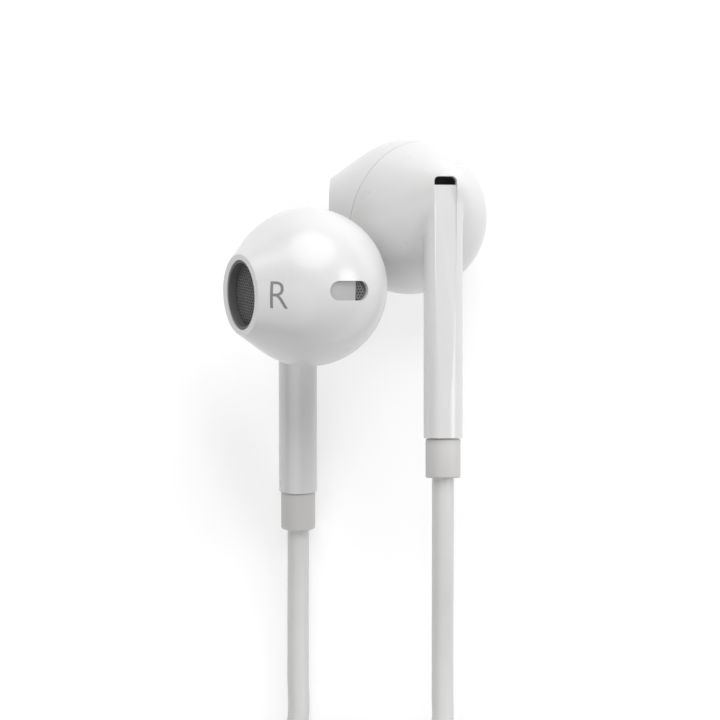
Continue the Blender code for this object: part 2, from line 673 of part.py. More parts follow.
# Routes of the cords' free stretches, in millimetres.
ROUTES = {
    "left_cord": [
        (9.21, -16.57, 13.85), (9.21, -20.0, 13.4), (9.2, -26.0, 12.2), (9.2, -33.0, 10.4),
        (9.2, -39.0, 9.3), (9.1, -43.2, 8.9), (7.6, -46.8, 8.9), (4.0, -48.6, 8.9),
    ],
    "right_cord": [
        (-6.67, -21.27, 1.77), (-6.67, -24.5, 1.3), (-6.68, -30.0, 1.22), (-6.68, -37.0, 1.22),
        (-6.8, -43.0, 1.22), (-9.2, -47.8, 1.22), (-13.4, -52.2, 1.22), (-17.0, -56.6, 1.22),
        (-19.6, -62.0, 1.22), (-20.2, -68.0, 1.22), (-18.6, -75.2, 1.22), (-13.5, -81.2, 1.22),
        (-6.0, -84.8, 1.22), (2.0, -86.2, 1.22), (9.5, -88.0, 1.22), (15.0, -87.7, 1.4),
        (18.5, -85.6, 1.9), (19.3, -82.35, 2.1),
    ],
    "right_lower_cord": [
        (19.3, -51.65, 2.1), (18.8, -48.4, 2.2), (16.4, -46.0, 2.6), (12.3, -45.1, 3.2),
        (7.0, -45.3, 4.1), (1.0, -46.2, 5.7), (-5.5, -47.6, 7.7), (-10.9, -50.3, 9.4),
    ],
    "left_cord_end": [(-14.6, -63.4, 14.3), (-14.4, -66.4, 14.6), (-13.5, -69.1, 14.8)],
    "right_cord_end": [(-17.7, -65.2, 14.3), (-17.1, -68.4, 14.6), (-15.4, -71.05, 14.8)],
    "main_cord_start": [
        (-4.55, -79.55, 14.8), (-1.9, -81.2, 14.8), (1.6, -81.3, 14.8), (4.6, -79.6, 14.8),
        (6.3, -76.5, 14.8), (6.3, -72.9, 14.8), (5.6, -69.3, 14.6), (4.9, -65.8, 13.4),
        (2.9, -62.6, 11.8), (-0.9, -60.6, 10.2), (-4.9, -61.8, 8.6), (-7.0, -65.5, 7.0),
        (-6.4, -69.8, 5.4),
    ],
    "main_cord_end": [
        (17.0, -66.5, 7.2), (18.6, -62.7, 8.8), (19.8, -59.6, 11.0), (19.7, -57.4, 13.5),
        (18.0, -56.6, 15.3), (15.35, -56.6, 15.8),
    ],
}

bud("left", False, lay_frame(LEFT_AT, HEAD_R, LEFT_RISE, LEFT_LIFT))
bud("right", True, lay_frame(RIGHT_AT, right_head_height(), RIGHT_RISE, RIGHT_LIFT))
remote()
split()
plug()
coil_and_tie()
for route_name, route_points in ROUTES.items():
    tube(route_name, route_points, CORD_D, CORD_SKIN)
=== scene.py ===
# %% [markdown]
# # A pair of wired earphones, piece by piece
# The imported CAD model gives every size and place. This lesson dresses it: fine shells for the two buds,
# real cords wound into a coil, a rounded remote, a Y split and a plug, each with its own finish.

# %% Load the frame
import math

import bmesh
import bpy
from mathutils import Matrix, Vector


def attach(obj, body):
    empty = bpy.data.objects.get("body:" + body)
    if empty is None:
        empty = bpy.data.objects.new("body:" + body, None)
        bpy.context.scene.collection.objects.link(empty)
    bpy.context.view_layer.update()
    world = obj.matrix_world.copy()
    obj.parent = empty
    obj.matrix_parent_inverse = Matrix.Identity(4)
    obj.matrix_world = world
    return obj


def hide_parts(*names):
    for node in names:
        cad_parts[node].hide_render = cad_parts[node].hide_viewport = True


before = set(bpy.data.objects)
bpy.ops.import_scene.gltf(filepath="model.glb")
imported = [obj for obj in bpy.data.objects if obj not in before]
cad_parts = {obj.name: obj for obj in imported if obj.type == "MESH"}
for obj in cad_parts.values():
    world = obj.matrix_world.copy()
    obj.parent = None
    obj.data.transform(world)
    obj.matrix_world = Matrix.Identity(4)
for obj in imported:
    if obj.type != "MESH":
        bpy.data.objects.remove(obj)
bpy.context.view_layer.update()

MM = 0.001
BODY = "earphones"

# %% [markdown]
# ## Camera
# The pair lies on a table and is looked at from almost straight above. A short lens close by would swell
# the nearer head, so a long lens stands far off instead, and its focal length follows from how wide a
# strip of table it has to show.

# %% Camera
VIEW_AIM = Vector((0.21, -3.01, 9.88)) * MM
VIEW_RISE = math.radians(84)
VIEW_FAR = 420 * MM
VIEW_WIDE = 79.1 * MM


def make_camera():
    lens = bpy.data.cameras.new("camera")
    lens.sensor_width = 36
    lens.lens = lens.sensor_width * VIEW_FAR / VIEW_WIDE
    lens.clip_start = 0.01
    camera = bpy.data.objects.new("camera", lens)
    back = Vector((0, -math.cos(VIEW_RISE), math.sin(VIEW_RISE)))
    camera.location = VIEW_AIM + back * VIEW_FAR
    camera.rotation_euler = (math.radians(90) - VIEW_RISE, 0, 0)
    bpy.context.scene.collection.objects.link(camera)
    bpy.context.scene.camera = camera
    print("lens", round(lens.lens), "mm at", round(VIEW_FAR / MM), "mm")


make_camera()

# %% [markdown]
# ## Materials as expressions
# A material is a graph of nodes, and linking every socket by hand is long to write and hard to read. Here
# a small class wraps a socket so that + and * add the Math node themselves, and another holds the shader
# and feeds it. What is the same all over a surface is set on the shader itself.

# %% Nodes written as expressions
class Signal:
    """A socket that can be added and multiplied like a number."""

    def __init__(self, paint, socket):
        self.paint = paint
        self.socket = socket

    def maths(self, operation, first, second):
        return self.paint.node("ShaderNodeMath", {"operation": operation}, {0: first, 1: second})

    def __add__(self, other):
        return self.maths("ADD", self, other)

    __radd__ = __add__

    def __mul__(self, other):
        return self.maths("MULTIPLY", self, other)

    __rmul__ = __mul__


class Paint:
    """A Principled material whose varying sockets are fed by node expressions."""

    def __init__(self, name, colour, roughness, **constants):
        self.material = bpy.data.materials.new(name)
        self.material.use_nodes = True
        self.material.diffuse_color = (*colour, 1)
        self.tree = self.material.node_tree
        self.shader = self.tree.nodes["Principled BSDF"]
        self.shader.inputs["Base Color"].default_value = (*colour, 1)
        self.shader.inputs["Roughness"].default_value = roughness
        for label, value in constants.items():
            self.shader.inputs[label.replace("_", " ")].default_value = value

    def node(self, kind, settings, values, output=0):
        made = self.tree.nodes.new(kind)
        for label, value in settings.items():
            setattr(made, label, value)
        for label, value in values.items():
            if isinstance(value, Signal):
                self.tree.links.new(value.socket, made.inputs[label])
            else:
                made.inputs[label].default_value = value
        return Signal(self, made.outputs[output])

    def place(self):
        return self.node("ShaderNodeTexCoord", {}, {}, "Object")

    def noise(self, scale, detail=2.0):
        values = {"Vector": self.place(), "Scale": scale, "Detail": detail}
        return self.node("ShaderNodeTexNoise", {}, values, "Fac")

    def blend(self, amount, first, second):
        values = {0: amount, 6: (*first, 1), 7: (*second, 1)}
        return self.node("ShaderNodeMix", {"data_type": "RGBA"}, values, 2)

    def feed(self, label, signal):
        self.tree.links.new(signal.socket, self.shader.inputs[label])

    def bump(self, height, strength, distance):
        values = {"Strength": strength, "Distance": distance, "Height": height}
        self.feed("Normal", self.node("ShaderNodeBump", {}, values, "Normal"))


print("node helpers ready")

# %% [markdown]
# ## Finishes
# Moulded white plastic is never one flat value: its gloss wanders a little where it was handled and its
# colour drifts by a per cent or two. An image of scratches would need unwrapping, so each finish uses
# noise on the piece's own coordinates instead: one slow noise for colour and gloss, and a fine one that
# is a bump, faint on hard parts and stronger on rubber and cloth.

# %% Finishes
def speckled(name, colour, other, roughness, spread, scale, grain, **constants):
    """A finish whose colour drifts between two, with a wandering gloss and a fine grain."""
    paint = Paint(name, colour, roughness, **constants)
    drift = paint.noise(scale)
    paint.feed("Base Color", paint.blend(drift, colour, other))
    paint.feed("Roughness", drift * spread + (roughness - spread / 2))
    paint.bump(paint.noise(scale * 14, 3.0), grain, 0.02 * MM)
    return paint.material


GLOSS = speckled(
    "gloss_white", (0.66, 0.66, 0.66), (0.70, 0.70, 0.695), 0.29, 0.08, 180, 0.03,
    Coat_Weight=0.15, Coat_Roughness=0.12,
)
SATIN = speckled("satin_rubber", (0.55, 0.545, 0.54), (0.59, 0.58, 0.57), 0.5, 0.12, 400, 0.25)
JACKET = speckled("cord_jacket", (0.62, 0.615, 0.61), (0.66, 0.655, 0.65), 0.42, 0.14, 300, 0.2)
RIM = speckled("mouth_rim", (0.10, 0.10, 0.10), (0.13, 0.13, 0.13), 0.42, 0.1, 500, 0.1)
VANE = speckled("slot_vane", (0.42, 0.42, 0.42), (0.47, 0.47, 0.47), 0.5, 0.1, 500, 0.1)
GRILLE = speckled("dark_mesh", (0.17, 0.17, 0.17), (0.21, 0.21, 0.21), 0.5, 0.1, 900, 0.05, Metallic=0.2)
CLOTH = speckled("dark_cloth", (0.003, 0.003, 0.003), (0.008, 0.008, 0.008), 0.9, 0.2, 3000, 0.6)
STEEL = speckled("steel", (0.52, 0.52, 0.53), (0.60, 0.60, 0.61), 0.32, 0.14, 700, 0.2, Metallic=1.0)
COPPER = speckled("copper", (0.74, 0.36, 0.20), (0.85, 0.45, 0.28), 0.34, 0.12, 1500, 0.5, Metallic=1.0)
FILM = speckled("film", (0.70, 0.71, 0.67), (0.78, 0.79, 0.75), 0.3, 0.1, 600, 0.2)
CARD = speckled("board", (0.015, 0.13, 0.06), (0.02, 0.18, 0.09), 0.45, 0.1, 900, 0.3)
BRIGHT = speckled("contact", (0.80, 0.77, 0.70), (0.86, 0.83, 0.77), 0.17, 0.08, 900, 0.05, Metallic=1.0)
BLACK = speckled("insulator", (0.03, 0.03, 0.03), (0.05, 0.05, 0.05), 0.4, 0.1, 900, 0.1)
PRINT = speckled("grey_print", (0.20, 0.20, 0.21), (0.25, 0.25, 0.26), 0.5, 0.1, 1500, 0.1)
print("plain finishes", len(bpy.data.materials))


# %% [markdown]
# ## Weave of the tie
# The tie is a flat woven band. Threads could be modelled one by one, but they are far finer than the
# cord, so a diagonal wave gives both their shade and their height.

# %% Woven finish
def woven(name, colour, other, pitch):
    """A fine diagonal weave on object coordinates."""
    paint = Paint(name, colour, 0.85, Sheen_Weight=0.3)
    wave = {"wave_type": "BANDS", "bands_direction": "DIAGONAL"}
    values = {"Vector": paint.place(), "Scale": 1 / pitch, "Distortion": 0.4}
    weave = paint.node("ShaderNodeTexWave", wave, values, "Fac")
    paint.feed("Base Color", paint.blend(weave, colour, other))
    paint.bump(weave, 0.5, 0.05 * MM)
    return paint.material


TIE = woven("tie_weave", (0.55, 0.55, 0.56), (0.64, 0.64, 0.65), 1.4 * MM)
print("finishes", len(bpy.data.materials))

# %% [markdown]
# ## Floor and lights
# White plastic on a white table is shaped only by soft changes of grey. The floor is a plain sheet that
# gives off a little light of its own, so it fades into the background and still takes a faint shadow.
# Three round lamps do the rest: a small one at the right draws the bright edges, a large and strong one
# beyond the heads shades them from top to foot, and one on the near side fills in the shade.

# %% Floor and lights
FLOOR_REACH = 3.0
FLOOR_GAP = 0.02 * MM
FLOOR_GLOW = 0.47
SKY_GLOW = 0.12


def make_floor():
    bm = bmesh.new()
    bmesh.ops.create_grid(bm, x_segments=1, y_segments=1, size=FLOOR_REACH)
    bmesh.ops.translate(bm, vec=(0, 0, -FLOOR_GAP), verts=bm.verts)
    mesh = bpy.data.meshes.new("floor")
    bm.to_mesh(mesh)
    bm.free()
    paint = Paint("floor_white", (0.55, 0.55, 0.55), 0.9)
    paint.shader.inputs["Specular IOR Level"].default_value = 0.0
    paint.shader.inputs["Emission Color"].default_value = (1, 1, 1, 1)
    paint.shader.inputs["Emission Strength"].default_value = FLOOR_GLOW
    mesh.materials.append(paint.material)
    floor = bpy.data.objects.new("floor", mesh)
    bpy.context.scene.collection.objects.link(floor)


def area_light(name, place, size, power):
    lamp = bpy.data.lights.new(name, "AREA")
    lamp.shape = "DISK"
    lamp.size = size
    lamp.energy = power
    light = bpy.data.objects.new(name, lamp)
    light.location = place
    light.rotation_euler = (VIEW_AIM - Vector(place)).to_track_quat("-Z", "Y").to_euler()
    bpy.context.scene.collection.objects.link(light)


def make_light():
    area_light("key", (0.50, 0.05, 0.30), 0.30, 1.3)
    area_light("top", (0.06, 0.54, 0.47), 0.80, 5.4)
    area_light("front", (-0.22, -0.34, 0.52), 0.80, 2.1)
    world = bpy.data.worlds.new("studio")
    world.use_nodes = True
    sky = world.node_tree.nodes["Background"]
    sky.inputs["Color"].default_value = (1, 1, 1, 1)
    sky.inputs["Strength"].default_value = SKY_GLOW
    bpy.context.scene.world = world
    bpy.context.scene.view_settings.view_transform = "Standard"


make_floor()
make_light()
print("floor and lights ready")

# %% [markdown]
# ## Cords
# A cord is one smooth line with a round section, so a curve with a round bevel suits it better than a
# mesh, and its length can be measured on the line. Each free stretch runs through a few knots, from the
# piece it leaves to the coil or to the piece it enters.

# %% Free stretches
CORD_D = 2.38 * MM
COIL_AT = Vector((-1.0, -66.0, 0.0)) * MM

ROUTES = {
    "left_cord": [
        (9.21, -16.57, 13.85), (9.21, -20.0, 13.4), (9.2, -26.0, 12.2), (9.2, -33.0, 10.4),
        (9.2, -39.0, 9.3), (9.1, -43.2, 8.9), (7.6, -46.8, 8.9), (4.0, -48.6, 8.9),
    ],
    "right_cord": [
        (-6.67, -21.27, 1.77), (-6.67, -24.5, 1.3), (-6.68, -30.0, 1.22), (-6.68, -37.0, 1.22),
        (-6.8, -43.0, 1.22), (-9.2, -47.8, 1.22), (-13.4, -52.2, 1.22), (-17.0, -56.6, 1.22),
        (-19.6, -62.0, 1.22), (-20.2, -68.0, 1.22), (-18.6, -75.2, 1.22), (-13.5, -81.2, 1.22),
        (-6.0, -84.8, 1.22), (2.0, -86.2, 1.22), (9.5, -88.0, 1.22), (15.0, -87.7, 1.4),
        (18.5, -85.6, 1.9), (19.3, -82.35, 2.1),
    ],
    "right_lower_cord": [
        (19.3, -51.65, 2.1), (18.8, -48.4, 2.2), (16.4, -46.0, 2.6), (12.3, -45.1, 3.2),
        (7.0, -45.3, 4.1), (1.0, -46.2, 5.7), (-5.5, -47.6, 7.7), (-10.9, -50.3, 9.4),
    ],
    "left_cord_end": [(-14.6, -63.4, 14.3), (-14.4, -66.4, 14.6), (-13.5, -69.1, 14.8)],
    "right_cord_end": [(-17.7, -65.2, 14.3), (-17.1, -68.4, 14.6), (-15.4, -71.05, 14.8)],
    "main_cord_start": [
        (-4.55, -79.55, 14.8), (-1.9, -81.2, 14.8), (1.6, -81.3, 14.8), (4.6, -79.6, 14.8),
        (6.3, -76.5, 14.8), (6.3, -72.9, 14.8), (5.6, -69.3, 14.6), (4.9, -65.8, 13.4),
        (2.9, -62.6, 11.8), (-0.9, -60.6, 10.2), (-4.9, -61.8, 8.6), (-7.0, -65.5, 7.0),
        (-6.4, -69.8, 5.4),
    ],
    "main_cord_end": [
        (17.0, -66.5, 7.2), (18.6, -62.7, 8.8), (19.8, -59.6, 11.0), (19.7, -57.4, 13.5),
        (18.0, -56.6, 15.3), (15.35, -56.6, 15.8),
    ],
}


def free(name):
    return [Vector(point) * MM for point in ROUTES[name]]


print("free stretches", len(ROUTES))

# %% [markdown]
# ## Winding
# The spare length is wound up in layers. A plain helix would step through the cords below it, so a
# list of stations gives the angle, radius and height of the winding instead: each lane lies one cord's
# width from the next, and the cord eases from lane to lane.

# %% Windings
WIND_STEP = 12  # degrees between the points of a winding
LANES = (10.2, 12.6, 15.0)  # radii in millimetres
LAYERS = (2.0, 4.3, 6.6, 8.9, 11.2)  # heights in millimetres


def hold(start, stop, lane, layer):
    """Two stations that keep a cord in one lane."""
    return [(start, LANES[lane], LAYERS[layer]), (stop, LANES[lane], LAYERS[layer])]


LEFT_WIND = (
    [(100, 17.2, 8.9)] + hold(150, 470, 2, 3) + hold(530, 830, 1, 3) + hold(890, 1165, 0, 3)
    + [(1195, 10.1, 11.2), (1215, 10.3, 13.2), (1230, 10.9, 14.1)]
)
RIGHT_WIND = (
    [(150, 16.2, 10.9)] + hold(175, 480, 2, 4) + hold(535, 850, 1, 4)
    + [(870, 12.9, 12.7), (885, 14.9, 14.0)]
)


def main_wind():
    """The main cord fills three layers from the inside: out, in and out again."""
    stations = [(235, 6.8, 4.6), (265, 7.1, 3.6), (305, 7.8, 2.5), (345, 9.2, 2.0)]
    start = 380
    for turn in range(9):
        layer, place = divmod(turn, 3)
        lane = place if layer % 2 == 0 else 2 - place
        stations += hold(start, start + 310, lane, layer)
        start += 360
    return stations[:-1] + [(3545, 15.0, 6.6), (3572, 16.3, 6.8)]


def wind_point(angle, radius, height):
    angle = math.radians(angle)
    return Vector((radius * math.cos(angle), radius * math.sin(angle), height)) * MM + COIL_AT


def wound(stations):
    """Points along a winding, easing between its stations."""
    points = []
    for (start, near, low), (stop, far, high) in zip(stations, stations[1:]):
        count = max(1, round((stop - start) / WIND_STEP))
        for index in range(count):
            share = index / count
            ease = share * share * (3 - 2 * share)
            angle = start + (stop - start) * share
            points.append(wind_point(angle, near + (far - near) * ease, low + (high - low) * ease))
    points.append(wind_point(*stations[-1]))
    return points


print("winding points", len(wound(LEFT_WIND)), len(wound(RIGHT_WIND)), len(wound(main_wind())))

# %% [markdown]
# ## Smooth cords
# Knots joined by straight lines would kink. The line is drawn through them with a spline that passes
# every knot, then thickened. It reaches a little way into whatever it joins, so no gap shows there.

# %% Smooth cords
LINE_STEP = 0.9 * MM
END_REACH = 0.8 * MM


def smooth_line(knots, step):
    """Points about a step apart on a smooth curve through the knots."""
    ends = [2 * knots[0] - knots[1]] + knots + [2 * knots[-1] - knots[-2]]
    line = [knots[0]]
    for before, start, stop, after in zip(ends, ends[1:], ends[2:], ends[3:]):
        count = max(1, round((stop - start).length / step))
        for index in range(1, count + 1):
            t = index / count
            line.append(
                0.5 * (2 * start + (stop - before) * t
                       + (2 * before - 5 * start + 4 * stop - after) * t ** 2
                       + (3 * start - before - 3 * stop + after) * t ** 3)
            )
    return line


def reach_in(knots):
    """The same line, reaching a little way into the pieces at its two ends."""
    first = knots[0] + (knots[0] - knots[1]).normalized() * END_REACH
    last = knots[-1] + (knots[-1] - knots[-2]).normalized() * END_REACH
    return [first] + knots + [last]


def make_cord(name, knots):
    line = smooth_line(reach_in(knots), LINE_STEP)
    curve = bpy.data.curves.new(name, "CURVE")
    curve.dimensions = "3D"
    curve.bevel_depth = CORD_D / 2
    curve.bevel_resolution = 4
    curve.use_fill_caps = True
    spline = curve.splines.new("POLY")
    spline.points.add(len(line) - 1)
    for point, place in zip(spline.points, line):
        point.co = (*place, 1)
    spline.use_smooth = True
    curve.materials.append(JACKET)
    cord = bpy.data.objects.new(name, curve)
    bpy.context.scene.collection.objects.link(cord)
    length = sum((b - a).length for a, b in zip(line, line[1:]))
    print(name, round(length / MM), "mm")
    return cord, length


LEFT_CORD, LEFT_LENGTH = make_cord(
    "left_cord_line", free("left_cord") + wound(LEFT_WIND) + free("left_cord_end")
)
RIGHT_CORD, RIGHT_LENGTH = make_cord("right_cord_line", free("right_cord"))
LOWER_CORD, LOWER_LENGTH = make_cord(
    "right_lower_cord_line", free("right_lower_cord") + wound(RIGHT_WIND) + free("right_cord_end")
)
MAIN_CORD, MAIN_LENGTH = make_cord(
    "main_cord_line", free("main_cord_start") + wound(main_wind()) + free("main_cord_end")
)

# %% [markdown]
# ## Cords on the body
# A cord in use is soft, and whoever animates the set would need to know where each one leaves its piece,
# how long and how thick it is and what hangs on its far end. Each cord is hung on the body here and takes
# the place of the stiff stand-ins of the CAD model.


def declare(cord, nodes):
    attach(cord, BODY)
    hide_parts(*nodes)


declare(LEFT_CORD, ["left_cord", "left_cord_end"])
declare(RIGHT_CORD, ["right_cord"])
declare(LOWER_CORD, ["right_lower_cord", "right_cord_end"])
declare(MAIN_CORD, ["main_cord_start", "main_cord_end", "cord_coil"])

# %% [markdown]
# ## Helpers for solid pieces
# Every hard piece is a moulding or a turned part, so it starts as a few bmesh primitives and is carved by
# Boolean modifiers, as a cutter would do it. Cuts in edit mode would have to be mended by hand after
# each change of size. A cutter is dropped as soon as it has cut.

# %% From bmesh to object
def raw(name, bm):
    """An object from a bmesh, not yet a piece."""
    bmesh.ops.remove_doubles(bm, verts=bm.verts, dist=1e-8)
    bmesh.ops.recalc_face_normals(bm, faces=bm.faces)
    mesh = bpy.data.meshes.new(name)
    bm.to_mesh(mesh)
    bm.free()
    made = bpy.data.objects.new(name, mesh)
    bpy.context.scene.collection.objects.link(made)
    return made


def settle(obj):
    """Applies an object's modifiers."""
    graph = bpy.context.evaluated_depsgraph_get()
    solid = bpy.data.meshes.new_from_object(obj.evaluated_get(graph))
    obj.modifiers.clear()
    old = obj.data
    obj.data = solid
    bpy.data.meshes.remove(old)


def carve(obj, cutter, operation="DIFFERENCE", solver="MANIFOLD"):
    """Cuts with a solid, or joins or keeps what is common, and drops the cutter."""
    change = obj.modifiers.new("carve", "BOOLEAN")
    change.operation = operation
    change.solver = solver
    change.object = cutter
    settle(obj)
    bpy.data.objects.remove(cutter)


def copy_of(obj):
    """A second object with a mesh of its own."""
    twin = obj.copy()
    twin.data = obj.data.copy()
    bpy.context.scene.collection.objects.link(twin)
    return twin


print("carving helpers ready")

# %% Plain solids
def cylinder(radius, low, high, segments=64):
    bm = bmesh.new()
    bmesh.ops.create_cone(
        bm, cap_ends=True, segments=segments, radius1=radius, radius2=radius, depth=high - low
    )
    bmesh.ops.translate(bm, vec=(0, 0, (low + high) / 2), verts=bm.verts)
    return bm


def ball(radius, centre=(0, 0, 0), fineness=64):
    bm = bmesh.new()
    bmesh.ops.create_uvsphere(bm, u_segments=fineness, v_segments=fineness // 2, radius=radius)
    bmesh.ops.translate(bm, vec=centre, verts=bm.verts)
    return bm


def block(size, centre=(0, 0, 0)):
    bm = bmesh.new()
    bmesh.ops.create_cube(bm, size=1)
    bmesh.ops.scale(bm, vec=size, verts=bm.verts)
    bmesh.ops.translate(bm, vec=centre, verts=bm.verts)
    return bm


def round_edges(bm, edges, width, segments):
    bmesh.ops.bevel(
        bm, geom=edges, offset=width, offset_type="OFFSET", affect="EDGES",
        segments=segments, profile=0.5, material=-1, clamp_overlap=True,
    )


def soften(bm, width, angle=40, segments=3):
    """Rounds the edges that turn by more than an angle."""
    least = math.radians(angle)
    sharp = [edge for edge in bm.edges if edge.is_manifold and edge.calc_face_angle() > least]
    round_edges(bm, sharp, width, segments)
    return bm


def moved(bm, matrix):
    bmesh.ops.transform(bm, matrix=matrix, verts=bm.verts)
    return bm


def along(direction, at=(0, 0, 0)):
    """A matrix that takes +Z to a direction and the origin to a place."""
    return Matrix.Translation(at) @ Vector(direction).to_track_quat("Z", "Y").to_matrix().to_4x4()


print("plain solids ready")

# %% [markdown]
# ## Pills and turned parts
# Two shapes come back again and again. A pill is the hull of two cylinders, which is quicker and cleaner
# than rounding a box in two directions. A turned part is half an outline spun about its axis, as on a
# lathe, so its rings and shoulders are true circles.

# %% Pills and turned parts
PILL_SIDES = 48
TURN_STEPS = 96


def stadium(length, width, low, high):
    """A prism along Z with half-round ends, its length along X."""
    bm = bmesh.new()
    reach = (length - width) / 2
    for side in (1, -1):
        bmesh.ops.create_cone(
            bm, cap_ends=True, segments=PILL_SIDES, radius1=width / 2, radius2=width / 2,
            depth=high - low, matrix=Matrix.Translation((side * reach, 0, (low + high) / 2)),
        )
    bmesh.ops.delete(bm, geom=list(bm.edges), context="EDGES_FACES")
    bmesh.ops.convex_hull(bm, input=bm.verts)
    bmesh.ops.dissolve_limit(bm, angle_limit=math.radians(1), verts=bm.verts, edges=bm.edges)
    return bm


def turned(profile):
    """A solid turned about Z from (radius, z) points; a point on the axis closes it."""
    bm = bmesh.new()
    points = [bm.verts.new((radius, 0, z)) for radius, z in profile]
    edges = [bm.edges.new(pair) for pair in zip(points, points[1:])]
    if profile[0][0] > 0 or profile[-1][0] > 0:
        edges.append(bm.edges.new((points[-1], points[0])))
    bmesh.ops.spin(
        bm, geom=points + edges, cent=(0, 0, 0), axis=(0, 0, 1),
        angle=math.tau, steps=TURN_STEPS, use_merge=True,
    )
    bmesh.ops.remove_doubles(bm, verts=bm.verts, dist=1e-7)
    return bm


print("pills and turned parts ready")

# %% Handing a piece over
def piece(obj, name, finish, nodes=(), body=BODY, sharp=35):
    """Gives an object its finish, smooth shading and body, in place of CAD nodes."""
    obj.name = name
    obj.data.name = name
    obj.data.materials.clear()
    obj.data.materials.append(finish)
    obj.data.shade_smooth()
    obj.data.set_sharp_from_angle(angle=math.radians(sharp))
    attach(obj, body)
    if nodes:
        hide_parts(*nodes)


print("solid helpers ready")

# %% [markdown]
# ## The skin of one bud
# In a bud's own frame the nozzle points along +X and the stem along -Z. The head, nozzle, neck and stem
# of the real one flow into each other with no edge. Patches could be pulled by hand, but the dome would
# lose its roundness, so a dome, an oval mouth and a neck are wrapped in one hull, the stem is joined to
# it, and a fine remesh with smoothing leaves a soft hollow where they meet. One bud is made in this frame
# and laid down twice, the second time as its mirror image.

# %% Bud sizes
HEAD_R = 8.55 * MM
WALL = 1.0 * MM
MOUTH_REACH = HEAD_R + 0.15 * MM
MOUTH_TALL = 8.24 * MM
MOUTH_WIDE = 6.1 * MM
MOUTH_DROP = 0.05 * MM
NOZZLE_LIP = 0.35 * MM
RING_WALL = 0.3 * MM
RING_DEEP = 2.0 * MM
MESH_SET_BACK = 1.0 * MM
SLOT_LONG = 4.8 * MM
SLOT_HIGH = 2.1 * MM
SLOT_TURN = math.radians(-88)
SLOT_RISE = math.radians(5)
SLOT_TILT = math.radians(5)
STEM_R = 2.1 * MM
STEM_AT = Vector((-4.1, 8.1, 0)) * MM
STEM_TOP = 2.6 * MM
STEM_FOOT = -24.3 * MM
NECK_R = 2.35 * MM
BORE_R = 1.25 * MM
GROOVE_TURN = math.radians(102)
GROOVE_WIDE = 2.5 * MM
GROOVE_DEEP = 0.6 * MM
GROOVE_FOOT = -21.0 * MM
BASS_TOP = 4.05 * MM
BASS_FOOT = 3.1 * MM
SLEEVE_R = 1.9 * MM
SLEEVE_FOOT = STEM_FOOT - 4.3 * MM
GAP = 0.1 * MM
print("head", round(2 * HEAD_R / MM, 2), "mm across, stem foot", round(STEM_FOOT / MM, 1), "mm")

# %% Outer skin
OVAL_SIDES = 96
SKIN_STEP = 0.16 * MM
SMOOTH_PASSES = 42
HEAD_SPARE = 0.03 * MM  # smoothing draws the head and the stem in by about this much
STEM_SPARE = 0.05 * MM
MOUTH_SPARE = 0.4 * MM


def mouth_form(bm, x, shrink):
    """Adds an oval of the nozzle's shape at a distance x along it."""
    turn = Matrix.Rotation(math.radians(90), 4, "Y")
    scale = Matrix.Diagonal((1, MOUTH_WIDE / 2 - shrink, MOUTH_TALL / 2 - shrink, 1))
    place = Matrix.Translation((x, 0, -MOUTH_DROP)) @ scale @ turn
    bmesh.ops.create_circle(bm, segments=OVAL_SIDES, radius=1, matrix=place)


def mouth_plug(near, far, shrink):
    """An oval bar along the nozzle, from near to far."""
    bm = bmesh.new()
    mouth_form(bm, near, shrink)
    mouth_form(bm, far, shrink)
    bmesh.ops.convex_hull(bm, input=bm.verts)
    return bm


def head_hull():
    """A dome, an oval mouth and a neck wrapped in one hull."""
    bm = ball(HEAD_R + HEAD_SPARE, fineness=96)
    mouth_form(bm, MOUTH_REACH + MOUTH_SPARE, 0)
    neck = ball(NECK_R + STEM_SPARE, STEM_AT + Vector((0, 0, STEM_TOP)))
    extra = bpy.data.meshes.new("neck")
    neck.to_mesh(extra)
    neck.free()
    bm.from_mesh(extra)
    bpy.data.meshes.remove(extra)
    bmesh.ops.delete(bm, geom=list(bm.edges), context="EDGES_FACES")
    made = bmesh.ops.convex_hull(bm, input=bm.verts)
    unused = [item for item in made["geom_interior"] if isinstance(item, bmesh.types.BMVert)]
    bmesh.ops.delete(bm, geom=unused, context="VERTS")
    return bm


def outer_skin():
    """Head, neck and stem melted into one closed skin."""
    skin = raw("skin", head_hull())
    stem = cylinder(STEM_R + STEM_SPARE, STEM_FOOT - 1 * MM, STEM_TOP)
    carve(skin, raw("stem", moved(stem, Matrix.Translation(STEM_AT))), "UNION")
    melt = skin.modifiers.new("melt", "REMESH")
    melt.mode = "VOXEL"
    melt.voxel_size = SKIN_STEP
    settle(skin)
    smooth = skin.modifiers.new("smooth", "SMOOTH")
    smooth.factor = 0.5
    smooth.iterations = SMOOTH_PASSES
    settle(skin)
    far = 40 * MM
    carve(skin, raw("below", block((far, far, far), STEM_AT + Vector((0, 0, STEM_FOOT - far / 2)))))
    carve(skin, raw("beyond", block((far, far, far), (MOUTH_REACH + far / 2, 0, 0))))
    return skin


SKIN = outer_skin()
print("outer skin faces", len(SKIN.data.polygons))

# %% [markdown]
# ## Openings of the bud
# The head is a thin hollow shell. It opens at the oval nozzle, at a pill-shaped slot in its side and at a
# small bass slot on its outer side, above a shallow groove that fades down the stem. All of them are cut
# with solids of their own shape, so the walls of each opening show their thickness. The groove's block
# leans outwards towards its foot, which is what makes the groove fade.

# %% Openings
GROOVE_ROUND = 0.22 * MM
BASS_ROUND = 0.12 * MM
BASS_WIDE = GROOVE_WIDE - 0.1 * MM
BASS_CORNER = 0.5 * MM


